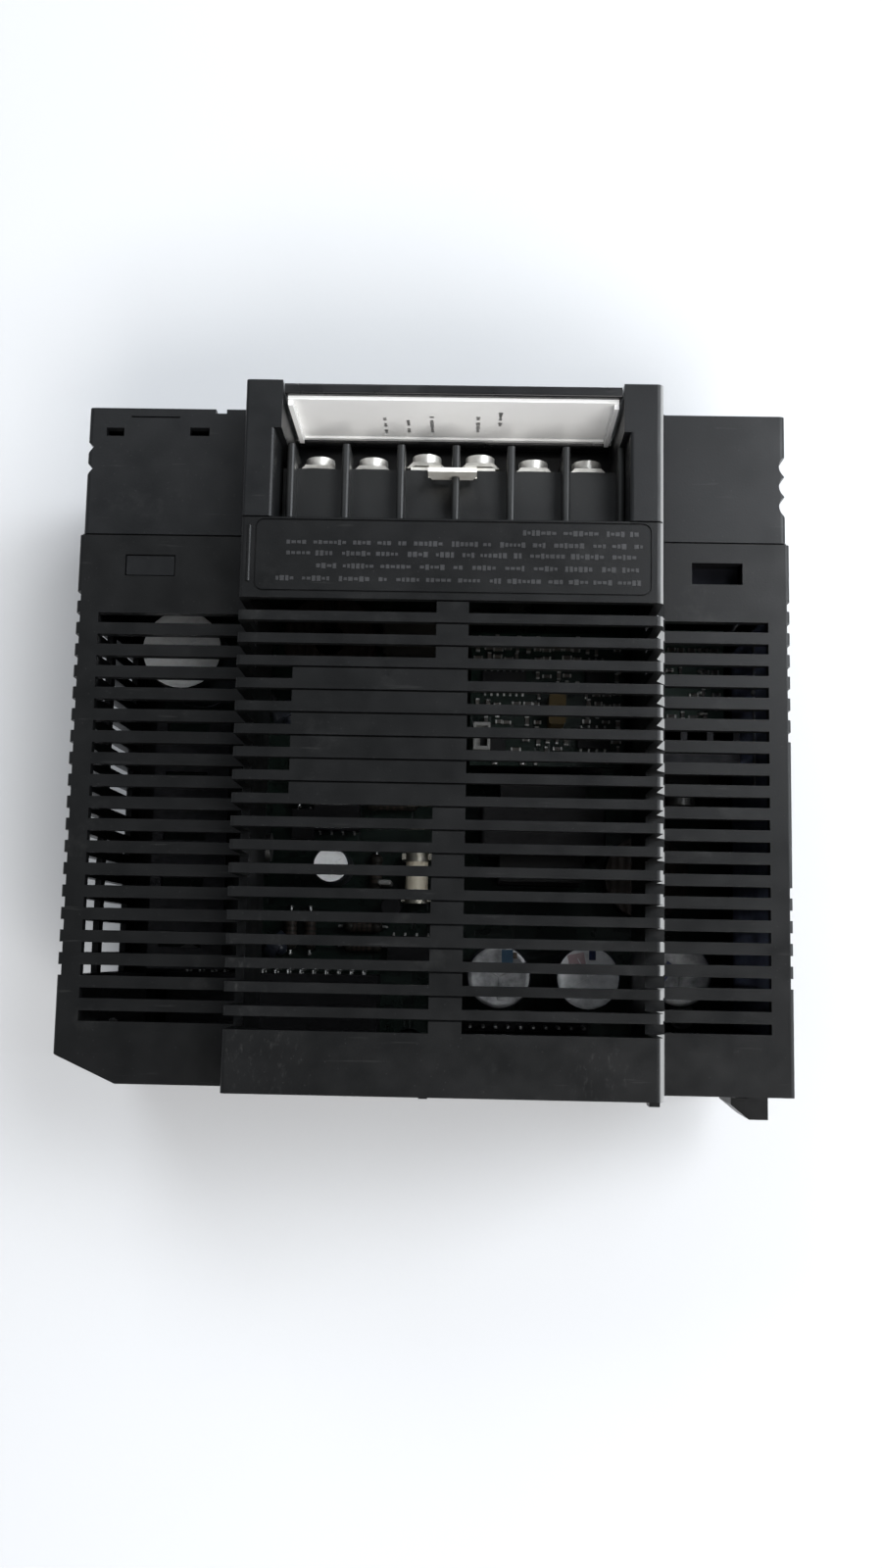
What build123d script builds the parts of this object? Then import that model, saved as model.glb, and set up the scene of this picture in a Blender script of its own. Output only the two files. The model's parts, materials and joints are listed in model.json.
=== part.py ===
from build123d import *

import os

# Plug-in power supply module of a controller rack, in millimetres, lying on its left side.
# +X points to the module's top, +Y to its front face and +Z to its right side.

# Case
case_height = 130.4
case_depth = 99.5
wing_level = 50.0
band_level = 62.0
split_level = 29.0
wall = 2.0
corner_chamfer_x = 11.2
corner_chamfer_y = 5.0
corner_round = 0.8

# Top rear hook: a stem with a tip that turns towards the module's middle
hook_reach = 6.2
hook_gap = 2.2
hook_low, hook_high = 58.0, 65.0
hook_bottom, hook_top = 17.0, split_level
hook_stem = 3.6
hook_tip = 1.3

# Front bezel, with two posts beside the terminals
bezel_depth = 24.1
bezel_inset = 0.6
post_proud = 0.8

# Raised band of the right cover
band_low = -33.4
band_high = 40.6
band_wall = 1.6
band_round = 1.2
foot_reach = 1.8
foot_rise = 3.0
rib_bottom = 30.0
rib_front = 90.0
spine_low = 1.2
spine_high = 6.8
blank_low = -23.5
line_width = 0.35

# Louvres
pitch = 4.0
rows = 19
first_row = 83.7
wing_slot = 1.85
band_slot = 2.3
groove_depth = 0.8
top_groove_depth = 0.6
shell_vent_low, shell_vent_high = 9.2, 27.6
cover_vent_low, cover_vent_high = 30.4, 43.5
wing_slots_low, wing_slots_high = -61.0, 61.2
floor_vents = ((-43.0, -3.0), (3.0, 43.0))
seam_width = 0.3
seam_depth = 0.5

# Snap windows in the wings
low_window = (-56.5, -47.3)
high_window = (47.4, 56.6)
window_back, window_front = 91.6, 95.6

# Marking panel in front of the louvres
panel_x, panel_y = 3.75, 92.5
panel_length, panel_width = 69.3, 13.0
panel_line = 0.3
ridge_x = -31.9
ridge_radius = 0.4

# Terminals
bays = 6
bay_pitch = 10.0
terminal_centre = 4.0
terminal_face = 111.5
terminal_floor = 37.0
screw_level = 45.5
screw_offset = -0.6
barrier_front = 115.4
barrier_top = 55.0
barrier_half = 0.7
compartment_low = -28.0
compartment_high = 34.6
compartment_back = 105.0
lip = 1.0
lip_back = 115.6
channel_bottom = 36.0
channel_back = 119.9
tail_y = 101.9
tail_level = 38.6
tail_size = 0.8

# Door
door_low = -26.6
door_high = 33.3
door_axis_y = 122.5
door_axis_z = 38.0
door_thickness = 1.5
door_top = 61.7
hinge_pin_radius = 0.7

# Boards
board_level = 5.0
board_thickness = 1.6
board_top = board_level + board_thickness
control_level = 27.0
board_half = 58.0
board_back, board_front = 6.5, 108.0
standoff_radius = 3.0
standoff_hole = 1.3

# Case screws
pillar_radius = 3.0
screw_clearance = 1.6
screw_recess = 2.9
screw_recess_depth = 1.6
screw_bite = 1.25

# Backplane connector, two rows of pins
connector_low, connector_high = -52.0, -10.0
connector_bottom, connector_top = 8.0, 19.0
connector_back, connector_front = 0.2, 19.2
connector_slack = 0.3
pins = 15
pin_pitch = 2.54
connector_rows = (11.0, 16.0)
pin_bends = (14.0, 18.0)

# Release lever
lever_x = -60.6
lever_y = 9.2
lever_bottom = 12.0
lever_top = 24.0
lever_slack = 0.5
pocket_low, pocket_high = -63.5, -54.5
pocket_front = 18.9
pocket_wall = 2.2
pocket_floor = -56.8
lever_pin_radius = 1.0

half = case_height / 2
span_y = case_depth + bezel_depth + post_proud + hook_reach
rear = hook_reach - span_y / 2


def fwd(distance):
    """Y of a place a distance in front of the case's rear face."""
    return rear + distance


def row_y(row):
    """Y of the middle of a louvre row."""
    return fwd(first_row - pitch * row)


def block(x0, x1, y0, y1, z0, z1, mode=Mode.ADD):
    """A straight block between two corners. Its Y values count from the rear face."""
    with Locations(((x0 + x1) / 2, fwd((y0 + y1) / 2), (z0 + z1) / 2)):
        Box(x1 - x0, y1 - y0, z1 - z0, mode=mode)


def slots(x0, x1, slot_rows, width, z0, z1):
    """Cuts one louvre slot along X in each of the rows, all in one cut."""
    middle_x, middle_z = (x0 + x1) / 2, (z0 + z1) / 2
    with Locations(*[(middle_x, row_y(row), middle_z) for row in slot_rows]):
        Box(x1 - x0, width, z1 - z0, mode=Mode.SUBTRACT)


def upright(x, y, radius, z0, z1, mode=Mode.ADD):
    """A round post or hole that stands along Z."""
    with Locations((x, fwd(y), (z0 + z1) / 2)):
        Cylinder(radius, z1 - z0, mode=mode)


def along_y(x, z, radius, y0, y1, mode=Mode.ADD):
    """A round rod or hole that runs along Y."""
    with Locations((x, fwd((y0 + y1) / 2), z)):
        Cylinder(radius, y1 - y0, rotation=(90, 0, 0), mode=mode)


def along_x(y, z, radius, x0, x1, mode=Mode.ADD):
    """A round rod or hole that runs along X."""
    with Locations(((x0 + x1) / 2, fwd(y), z)):
        Cylinder(radius, x1 - x0, rotation=(0, 90, 0), mode=mode)


def case_plan(inset, front):
    """The case's outline seen from its right side, moved inwards by inset."""
    cut_x = corner_chamfer_x * (1 - inset / (3 * corner_chamfer_y))
    cut_y = corner_chamfer_y * (1 - inset / (3 * corner_chamfer_y))
    Polygon(
        (-half + inset, fwd(inset + cut_y)),
        (-half + inset + cut_x, fwd(inset)),
        (half - inset, fwd(inset)),
        (half - inset, fwd(front)),
        (-half + inset, fwd(front)),
        align=None,
    )


def band_foot(y0, y1):
    """The sloped foot where the band's upper side wall meets the wing."""
    with BuildSketch(Plane.XZ.offset(-fwd(y0))) as profile:
        Polygon(
            (band_high - 0.5, wing_level - 0.5),
            (band_high + foot_reach + 0.3, wing_level - 0.5),
            (band_high, wing_level + foot_rise),
            (band_high - 0.5, wing_level + foot_rise),
            align=None,
        )
    extrude(profile.sketch, amount=-(y1 - y0))


def save(part, name):
    """Labels a finished piece and writes it to its own STEP file."""
    part.part.label = name
    export_step(part.part, f"parts/{name}.step")


os.makedirs("parts", exist_ok=True)

# The rows whose louvres also open through the bottom and top end walls
bottom_wall_rows = range(-1, 17)
top_wall_rows = [*range(-1, 6), *range(12, 17)]
blanked_rows = range(3, 9)

# Case screws: a rear pair and a front pair, each through a pillar
case_screw_places = [(-4.0, 4.7), (58.6, 4.7), (-59.8, 93.0), (59.8, 93.0)]

# Board screws: the standoffs stand on the left shell's floor
board_screw_places = [(-50.0, 22.0), (52.0, 12.0), (-50.0, 104.0), (50.0, 104.0)]

# Left shell: the tray that the boards sit in
with BuildPart() as left_shell:
    with BuildSketch():
        case_plan(0, case_depth)
    extrude(amount=split_level)
    fillet(left_shell.faces().sort_by(Axis.Z)[0].edges().filter_by(Axis.Y), radius=1.0)
    with BuildSketch(Plane.XY.offset(wall)):
        case_plan(wall, case_depth + 1)
    extrude(amount=split_level, mode=Mode.SUBTRACT)
    # Vents in the bottom and top end walls, each in a shallow outer groove
    slots(-half - 1, -half + groove_depth, bottom_wall_rows, wing_slot, wall, split_level + 1)
    slots(-half - 1, -half + wall + 1, bottom_wall_rows[1:], wing_slot, shell_vent_low,
          shell_vent_high)
    slots(half - top_groove_depth, half + 1, top_wall_rows, wing_slot, wall, split_level + 1)
    slots(half - wall - 1, half + 1, top_wall_rows, wing_slot, shell_vent_low, shell_vent_high)
    # Vents in the floor
    for low, high in floor_vents:
        slots(low, high, range(1, 17), wing_slot, -1, wall + 1)
    # Pillars for the case screws and standoffs for the board
    for x, y in case_screw_places:
        upright(x, y, pillar_radius, wall, split_level)
        upright(x, y, screw_clearance, -1, split_level + 1, mode=Mode.SUBTRACT)
        upright(x, y, screw_recess, -1, screw_recess_depth, mode=Mode.SUBTRACT)
    for x, y in board_screw_places[:2]:
        upright(x, y, standoff_radius, wall, board_level)
        upright(x, y, standoff_hole, wall, board_level + 1, mode=Mode.SUBTRACT)
    # Rear opening for the backplane connector
    block(connector_low - connector_slack, connector_high + connector_slack, -1, wall + 1,
          connector_bottom - 0.2, connector_top + 0.2, mode=Mode.SUBTRACT)
    # Top rear hook
    with BuildSketch(Plane.XY.offset(hook_bottom)):
        Polygon(
            (hook_high, fwd(0.5)),
            (hook_high, fwd(-hook_reach)),
            (hook_high - hook_stem, fwd(-hook_reach)),
            (hook_low, fwd(-hook_gap - hook_tip)),
            (hook_low, fwd(-hook_gap)),
            (hook_high - hook_stem, fwd(-hook_gap)),
            (hook_high - hook_stem, fwd(0.5)),
            align=None,
        )
    extrude(amount=hook_top - hook_bottom)
    # Pocket for the release lever in the bottom rear corner
    block(pocket_low, pocket_high, 1.0, pocket_front, lever_bottom - pocket_wall,
          lever_top + pocket_wall)
    block(-half - 1, pocket_floor, -1, pocket_front - 1.3, lever_bottom - lever_slack,
          lever_top + lever_slack, mode=Mode.SUBTRACT)
    upright(lever_x, lever_y, lever_pin_radius, lever_bottom - pocket_wall - 0.1,
            lever_top + pocket_wall + 0.1, mode=Mode.SUBTRACT)
save(left_shell, "left_shell")

# Right cover: two lower wings with a raised louvred band between them
with BuildPart() as right_cover:
    with BuildSketch(Plane.XY.offset(split_level)):
        case_plan(0, case_depth)
    extrude(amount=wing_level - split_level)
    fillet(right_cover.faces().sort_by(Axis.Z)[-1].edges().filter_by(Axis.Y),
           radius=corner_round)
    block(band_low, band_high, 0, case_depth, wing_level - 1, band_level)
    top_edges = right_cover.faces().sort_by(Axis.Z)[-1].edges().filter_by(Axis.Y)
    fillet(top_edges.sort_by(Axis.X)[0], radius=corner_round)
    top_edges = right_cover.faces().sort_by(Axis.Z)[-1].edges().filter_by(Axis.Y)
    fillet(top_edges.sort_by(Axis.X)[-1], radius=band_round)
    band_foot(0, case_depth)
    with BuildSketch(Plane.XY.offset(split_level)):
        case_plan(wall, case_depth + 1)
    extrude(amount=wing_level - wall - split_level, mode=Mode.SUBTRACT)
    block(
        band_low + band_wall,
        band_high - band_wall,
        wall,
        case_depth - wall,
        wing_level - wall - 1,
        band_level - band_wall,
        mode=Mode.SUBTRACT,
    )
    # Ribs that carry the band's side walls down into the case
    for edge in (band_low, band_high - band_wall):
        block(edge, edge + band_wall, wall, rib_front, rib_bottom, wing_level)
    # Wing louvres
    all_rows = range(rows)
    for low, high in ((wing_slots_low, band_low), (band_high + foot_reach, wing_slots_high)):
        slots(low, high, all_rows, wing_slot, wing_level - wall - 1, wing_level + 1)
    # Band louvres, which run round both edges of the band down to the wings
    open_rows = [row for row in all_rows if row not in blanked_rows]
    under, over = band_level - band_wall - 1, band_level + 1
    slots(band_low - 1, spine_low, open_rows, band_slot, under, over)
    slots(band_low - 1, blank_low, blanked_rows, band_slot, under, over)
    slots(spine_high, band_high + 1, all_rows, band_slot, under, over)
    slots(band_low - 1, band_low + band_wall + 1, all_rows, band_slot, wing_level, over)
    slots(band_high - band_wall - 1, band_high + foot_reach, all_rows, band_slot, wing_level,
          over)
    # A fine line along the front edge of each blanked stretch
    for low, line_rows in ((spine_low, open_rows), (blank_low, blanked_rows)):
        middle_x = (low + spine_high) / 2
        line_y = (band_slot - line_width) / 2
        with Locations(*[(middle_x, row_y(row) + line_y, band_level) for row in line_rows]):
            Box(spine_high - low, line_width, 1.4, mode=Mode.SUBTRACT)
    # End wall vents in their grooves
    under, over = split_level - 1, wing_level + 1
    slots(-half - 1, -half + groove_depth, bottom_wall_rows, wing_slot, under, over)
    slots(-half - 1, -half + wall + 1, bottom_wall_rows[1:], wing_slot, cover_vent_low,
          cover_vent_high)
    slots(half - top_groove_depth, half + 1, top_wall_rows, wing_slot, under, over)
    slots(half - wall - 1, half + 1, top_wall_rows, wing_slot, cover_vent_low, cover_vent_high)
    # Windows for the bezel's snap tabs
    for low, high in (low_window, high_window):
        block(low, high, window_back, window_front, wing_level - wall - 1, wing_level + 1,
              mode=Mode.SUBTRACT)
    # Groove along the seam with the front bezel
    seam_start = case_depth - seam_width
    for low, high, level in (
        (-half - 1, band_low, wing_level),
        (band_low - 1, band_high + 1, band_level),
        (band_high + foot_reach, half + 1, wing_level),
    ):
        block(low, high, seam_start, case_depth + 1, level - seam_depth, level + 1,
              mode=Mode.SUBTRACT)
    for side in (-half, half):
        block(side - seam_depth, side + seam_depth, seam_start, case_depth + 1, split_level - 1,
              wing_level + 1, mode=Mode.SUBTRACT)
    # Shallow border of the marking panel
    with BuildSketch(Plane((0, 0, band_level))):
        with Locations((panel_x, fwd(panel_y))):
            RectangleRounded(panel_length, panel_width, 1.6)
            RectangleRounded(panel_length - 2 * panel_line, panel_width - 2 * panel_line,
                             1.6 - panel_line, mode=Mode.SUBTRACT)
    extrude(amount=-panel_line, mode=Mode.SUBTRACT)
    # Ridge at the panel's lower end
    along_y(ridge_x, band_level - 0.1, ridge_radius, panel_y - 4.8, panel_y + 5.2)
    # Pillars that take the case screws
    for x, y in case_screw_places:
        upright(x, y, pillar_radius, split_level, wing_level - wall)
        upright(x, y, screw_bite, split_level - 1, wing_level - wall - 6, mode=Mode.SUBTRACT)
    # Small moulding nubs on the rear edge
    block(-0.3, 1.2, -0.5, 0.5, 57.0, 59.0)
    block(38.4, 40.2, -0.9, 0.5, 56.5, 60.0)
save(right_cover, "right_cover")

# Front bezel: front frame with the terminal compartment between two posts
bezel_front = case_depth + bezel_depth
edge = half - bezel_inset
post_low = (band_low, compartment_low)
post_high = (compartment_high, band_high)
floor_thickness = 3.5
arm_root = 104.0
lens_low, lens_high = 44.0, 58.0
lens_bottom, lens_top = 12.0, 32.0
lens_rim = 1.5
with BuildPart() as front_bezel:
    block(-edge, edge, case_depth, bezel_front, 0.4, wing_level)
    fillet(front_bezel.edges().filter_by(Axis.Y), radius=1.0)
    block(-edge + wall, edge - wall, case_depth - 1, bezel_front - wall, wall + 0.4,
          wing_level - wall, mode=Mode.SUBTRACT)
    for low, high in (post_low, post_high):
        block(low, high, case_depth, bezel_front + post_proud, terminal_floor - floor_thickness,
              band_level)
    top_edges = front_bezel.faces().filter_by(Axis.Z).group_by(Axis.Z)[-1].edges()
    fillet(top_edges.filter_by(Axis.Y).sort_by(Axis.X)[:-1], radius=0.7)
    top_edges = front_bezel.faces().filter_by(Axis.Z).group_by(Axis.Z)[-1].edges()
    fillet(top_edges.filter_by(Axis.Y).sort_by(Axis.X)[-1], radius=band_round)
    band_foot(case_depth, bezel_front)
    # Compartment: floor, then everything above it cleared from post to post
    block(compartment_low, compartment_high, compartment_back, bezel_front,
          terminal_floor - floor_thickness, wing_level)
    block(compartment_low, compartment_high, case_depth - 1, bezel_front + 1, terminal_floor,
          wing_level + 1, mode=Mode.SUBTRACT)
    # Lips at the front of the posts, which the door closes between
    for low, high in ((compartment_low - 1, compartment_low + lip + 0.1),
                      (compartment_high - lip, compartment_high + 1)):
        block(low, high, lip_back, bezel_front + post_proud, terminal_floor - 1, band_level)
    # Channel for the door's hinge barrel
    block(compartment_low + lip + 0.1, compartment_high - lip, channel_back, bezel_front + 1,
          channel_bottom, wing_level, mode=Mode.SUBTRACT)
    with BuildSketch(Plane.YZ.offset(compartment_low + lip + 0.1)):
        Polygon(
            (fwd(bezel_front - 0.8), channel_bottom + 0.01),
            (fwd(bezel_front + 0.01), channel_bottom + 0.01),
            (fwd(bezel_front + 0.01), channel_bottom - 0.8),
            align=None,
        )
    extrude(amount=compartment_high - compartment_low - 2 * lip - 0.1, mode=Mode.SUBTRACT)
    hole = hinge_pin_radius + 0.1
    along_x(door_axis_y, door_axis_z, hole, door_low - 4.4, door_low + 0.6, mode=Mode.SUBTRACT)
    along_x(door_axis_y, door_axis_z, hole, door_high - 0.3, door_high + 4.3,
            mode=Mode.SUBTRACT)
    # Snap arms: the lower one's tab fills its window, the upper one stays well under it
    for (low, high), spread, drop, bottom in (
        (low_window, -0.6, 0.1, 4.0),
        (high_window, 0.1, 2.6, 6.8),
    ):
        block(low - spread, high + spread, rib_front, arm_root, wing_level - bottom,
              wing_level - wall - drop)
        block(low - spread, high + spread, case_depth + 0.5, arm_root, wing_level - bottom,
              wing_level - wall)
    block(low_window[0] + 0.2, low_window[1] - 0.2, window_back + 0.2, window_front - 0.2,
          wing_level - wall - 0.2, wing_level - 0.2)
    # Latch slots, notches and finger grips in the wings
    block(-61.2, -57.9, 118.2, 119.8, wing_level - wall - 1, wing_level + 1, mode=Mode.SUBTRACT)
    block(-45.6, -42.0, 118.4, 120.0, wing_level - wall - 1, wing_level + 1, mode=Mode.SUBTRACT)
    block(-56.7, -47.6, 121.8, 122.1, wing_level - 0.4, wing_level + 1, mode=Mode.SUBTRACT)
    block(-40.9, -38.9, 122.8, bezel_front + 1, wing_level - 12, wing_level + 1, mode=Mode.SUBTRACT)
    with BuildSketch(Plane.XY.offset(wing_level - 22)):
        for middle in (116.0, 111.9):
            with Locations((-edge, fwd(middle))):
                Rectangle(1.7, 1.7, rotation=45)
        for middle in (106.5, 110.3, 114.1):
            with Locations((edge + 1.0, fwd(middle))):
                Circle(2.2)
    extrude(amount=23, mode=Mode.SUBTRACT)
    # Window for the indicator lens, and its seat
    block(lens_low, lens_high, bezel_front - 0.8, bezel_front + 1, lens_bottom, lens_top,
          mode=Mode.SUBTRACT)
    block(lens_low + lens_rim, lens_high - lens_rim, bezel_front - wall - 1, bezel_front,
          lens_bottom + lens_rim, lens_top - lens_rim, mode=Mode.SUBTRACT)
save(front_bezel, "front_bezel")


def bay_x(bay):
    """X of the middle of a terminal bay."""
    return terminal_centre + bay_pitch * (bay - (bays - 1) / 2)


def terminal_tail(bay, slack):
    """A terminal's strip through the block, then down to the main board."""
    x = bay_x(bay) + screw_offset
    low, high = x - 1 - slack, x + 1 + slack
    top = tail_level + tail_size + slack
    mode = Mode.ADD if slack == 0 else Mode.SUBTRACT
    block(low, high, tail_y - slack, terminal_face, tail_level - slack, top, mode=mode)
    block(low, high, tail_y - slack, tail_y + tail_size + slack, board_level - 0.8, top,
          mode=mode)


screw_shank = 1.6
strap_thickness = 0.8
strap_back = 109.7
strap_bottom, strap_top = 52.6, 56.9
lug_top = 49.6
neck_top = 50.8
plate_front = terminal_face + 0.8
plate_top = 49.0
with BuildPart() as terminal_block:
    block(compartment_low + 0.1, compartment_high - 0.1, case_depth + 0.1, terminal_face,
          terminal_floor, wing_level + 0.3)
    # Ledge over the terminal plates
    block(compartment_low + 0.1, compartment_high - 0.1, terminal_face - 1, plate_front,
          plate_top + 0.05, wing_level + 0.3)
    for i in range(bays + 1):
        x = terminal_centre + bay_pitch * (i - bays / 2)
        high = min(x + barrier_half, compartment_high - 0.05)
        block(x - barrier_half, high, case_depth + 0.1, barrier_front, terminal_floor,
              barrier_top)
    tips = terminal_block.edges().filter_by(Axis.Y).group_by(Axis.Z)[-1]
    fillet(tips, radius=0.55)
    # Notch in the middle barrier for the jumper strap
    block(terminal_centre - 2, terminal_centre + 2, strap_back - 0.3, strap_back + 1.1,
          strap_bottom - 0.3, barrier_top + 1, mode=Mode.SUBTRACT)
    for bay in range(bays):
        terminal_tail(bay, 0.05)
        along_y(bay_x(bay) + screw_offset, screw_level, screw_shank + 0.05, 103.5,
                terminal_face + 1, mode=Mode.SUBTRACT)
save(terminal_block, "terminal_block")

with BuildPart() as terminal_plates:
    for bay in range(bays):
        x = bay_x(bay) + screw_offset
        block(x - 3.6, x + 3.6, terminal_face, plate_front, tail_level, plate_top)
        along_y(x, screw_level, screw_shank + 0.05, terminal_face - 1, plate_front + 1,
                mode=Mode.SUBTRACT)
        terminal_tail(bay, 0)
save(terminal_plates, "terminal_plates")

# The two middle terminals also hold the jumper strap, so their clamps sit higher
strap_bays = (2, 3)
clamp_size = 7.2
clamp_height = 1.2
screw_head = 2.7
with BuildPart() as saddle_clamps:
    for bay in range(bays):
        x = bay_x(bay) + screw_offset
        foot = plate_front + (strap_thickness if bay in strap_bays else 0)
        with BuildSketch(Plane.XY.offset(screw_level - clamp_size / 2)):
            Polygon(
                (x - clamp_size / 2, fwd(foot)),
                (x - 3.0, fwd(foot)),
                (x - 2.1, fwd(foot + 0.5)),
                (x + 2.1, fwd(foot + 0.5)),
                (x + 3.0, fwd(foot)),
                (x + clamp_size / 2, fwd(foot)),
                (x + 2.4, fwd(foot + clamp_height)),
                (x - 2.4, fwd(foot + clamp_height)),
                align=None,
            )
        extrude(amount=clamp_size)
        along_y(x, screw_level, screw_shank + 0.1, foot - 1, foot + 2, mode=Mode.SUBTRACT)
save(saddle_clamps, "saddle_clamps")

with BuildPart() as terminal_screws:
    for bay in range(bays):
        x = bay_x(bay) + screw_offset
        seat = plate_front + clamp_height + (strap_thickness if bay in strap_bays else 0)
        along_y(x, screw_level, screw_shank, 104.0, seat + 0.5)
        along_y(x, screw_level, screw_head, seat, seat + 1.9)
        block(x - screw_head - 0.1, x + screw_head + 0.1, seat + 1.1, seat + 2,
              screw_level - 0.35, screw_level + 0.35, mode=Mode.SUBTRACT)
save(terminal_screws, "terminal_screws")

# Jumper strap: two lugs under the clamps, each with a neck that bends back to the bridge
strap_ends = [bay_x(bay) + screw_offset for bay in strap_bays]
with BuildPart() as jumper_strap:
    for x, inward in zip(strap_ends, (1, -1)):
        block(x - 2.8, x + 2.8, plate_front, plate_front + strap_thickness, 42.0, lug_top)
        low, high = sorted((x + 0.6 * inward, x + 2.8 * inward))
        block(low, high, plate_front, plate_front + strap_thickness, lug_top - 0.5, neck_top)
        with BuildSketch(Plane.YZ.offset(low)):
            Polygon(
                (fwd(plate_front), neck_top - 0.01),
                (fwd(plate_front + strap_thickness), neck_top - 0.01),
                (fwd(strap_back + strap_thickness), strap_bottom + 1),
                (fwd(strap_back), strap_bottom + 1),
                align=None,
            )
        extrude(amount=high - low)
        along_y(x, screw_level, screw_shank + 0.1, plate_front - 1, plate_front + 2,
                mode=Mode.SUBTRACT)
    with BuildSketch(Plane.XZ.offset(-fwd(strap_back))):
        Polygon(
            (strap_ends[0] + 0.6, strap_top),
            (strap_ends[0] + 0.6, strap_bottom + 1.8),
            (strap_ends[0] + 1.3, strap_bottom),
            (strap_ends[1] - 1.3, strap_bottom),
            (strap_ends[1] - 0.6, strap_bottom + 1.8),
            (strap_ends[1] - 0.6, strap_top),
            align=None,
        )
    extrude(amount=-strap_thickness)
save(jumper_strap, "jumper_strap")

# Terminal door: hinged on its far edge, with a flange along its near edge
door_outer = door_axis_y + door_thickness
with BuildPart() as terminal_door:
    block(door_low, door_high, door_axis_y, door_outer, door_axis_z, door_top)
    block(door_low, door_high, door_axis_y - 0.4, door_outer, door_top - 1.2, door_top)
    along_x(door_axis_y, door_axis_z, door_thickness, door_low, door_high)
    bore = hinge_pin_radius + 0.05
    along_x(door_axis_y, door_axis_z, bore, door_low - 1, door_low + 5, mode=Mode.SUBTRACT)
    along_x(door_axis_y, door_axis_z, bore, door_high - 5, door_high + 1, mode=Mode.SUBTRACT)
    fillet(terminal_door.edges().filter_by(Axis.X).group_by(Axis.Z)[-1], radius=0.4)
save(terminal_door, "terminal_door")

tray_low, tray_high = door_low + 0.4, door_high - 0.4
tray_bottom, tray_top = 40.4, 60.1
tray_face = 121.6
tray_rim = 1.0
flange = 0.8
with BuildPart() as door_label_tray:
    block(tray_low, tray_high, tray_face, door_axis_y, tray_bottom, tray_top)
    block(tray_low + tray_rim, tray_high - tray_rim, tray_face - 1, tray_face + 0.4,
          tray_bottom + tray_rim, tray_top - tray_rim, mode=Mode.SUBTRACT)
    # End flanges stand higher than the rim
    for low in (tray_low, tray_high - flange):
        block(low, low + flange, tray_face - 0.9, tray_face + 0.1, tray_bottom + 0.6,
              tray_top - 0.5)
save(door_label_tray, "door_label_tray")

with BuildPart() as door_hinge_pins:
    for end, outward in ((door_low, -1), (door_high, 1)):
        low, high = sorted((end + 3.4 * outward, end - 4.6 * outward))
        along_x(door_axis_y, door_axis_z, hinge_pin_radius, low, high)
save(door_hinge_pins, "door_hinge_pins")

# Main board, on four standoffs
with BuildPart() as main_board:
    block(-board_half, board_half, board_back, board_front, board_level, board_top)
    # Corner left free for the lever's pocket
    block(-board_half - 1, pocket_high + 0.7, board_back - 1, pocket_front + 1.1,
          board_level - 1, board_top + 1, mode=Mode.SUBTRACT)
    for x, y in case_screw_places:
        upright(x, y, pillar_radius + 0.5, board_level - 1, board_top + 1, mode=Mode.SUBTRACT)
    for x, y in board_screw_places:
        upright(x, y, screw_clearance, board_level - 1, board_top + 1, mode=Mode.SUBTRACT)
    for bay in range(bays):
        x = bay_x(bay) + screw_offset
        block(x - 1.1, x + 1.1, tail_y - 0.1, tail_y + tail_size + 0.1, board_level - 1,
              board_top + 1, mode=Mode.SUBTRACT)
save(main_board, "main_board")

# The front pair of standoffs is moulded as two loose spacers with feet on the bezel's floor
with BuildPart() as board_spacers:
    for x, y in board_screw_places[2:]:
        upright(x, y, standoff_radius, wall + 0.4, board_level)
        upright(x, y, standoff_hole, wall, board_level + 1, mode=Mode.SUBTRACT)
save(board_spacers, "board_spacers")

with BuildPart() as board_screws:
    for x, y in board_screw_places:
        upright(x, y, screw_bite, wall + 0.6, board_top + 0.5)
        upright(x, y, screw_head, board_top, board_top + 1.8)
save(board_screws, "board_screws")


def can(name, x, y, radius, height, bottom=board_top):
    """An upright electrolytic capacitor with a rolled groove near its foot."""
    with BuildPart() as piece:
        upright(x, y, radius, bottom, bottom + height)
        with BuildSketch(Plane((x, fwd(y), bottom), x_dir=(1, 0, 0), z_dir=(0, -1, 0))):
            with Locations((radius, 2.6)):
                Circle(0.5)
        revolve(axis=Axis((x, fwd(y), 0), (0, 0, 1)), mode=Mode.SUBTRACT)
        fillet(piece.edges().filter_by(GeomType.CIRCLE).group_by(Axis.Z)[-1], radius=0.6)
    save(piece, name)


can("bulk_capacitor", -49.5, 82.2, 7.8, 24.0)
output_capacitor_places = [(13.9, 19.5), (31.2, 19.6), (48.9, 20.5)]
for number, (x, y) in enumerate(output_capacitor_places, start=1):
    can(f"output_capacitor_{number}", x, y, 6.25, 19.0)
can("small_capacitor", -20.0, 41.0, 3.7, 13.4)

# Fuse in two clips, lying along Y
fuse_x, fuse_z = -2.9, 12.0
fuse_low, fuse_high = 33.8, 44.4
with BuildPart() as fuse_body:
    along_y(fuse_x, fuse_z, 2.3, fuse_low + 2, fuse_high - 2)
save(fuse_body, "fuse_body")

with BuildPart() as fuse_caps:
    along_y(fuse_x, fuse_z, 2.6, fuse_low, fuse_low + 2)
    along_y(fuse_x, fuse_z, 2.6, fuse_high - 2, fuse_high)
save(fuse_caps, "fuse_caps")

with BuildPart() as fuse_clips:
    for y in (fuse_low + 0.4, fuse_high - 1.6):
        block(fuse_x - 3.1, fuse_x + 3.1, y, y + 1.2, board_top, fuse_z + 1.2)
        along_y(fuse_x, fuse_z, 2.6, y - 1, y + 2, mode=Mode.SUBTRACT)
save(fuse_clips, "fuse_clips")

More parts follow.
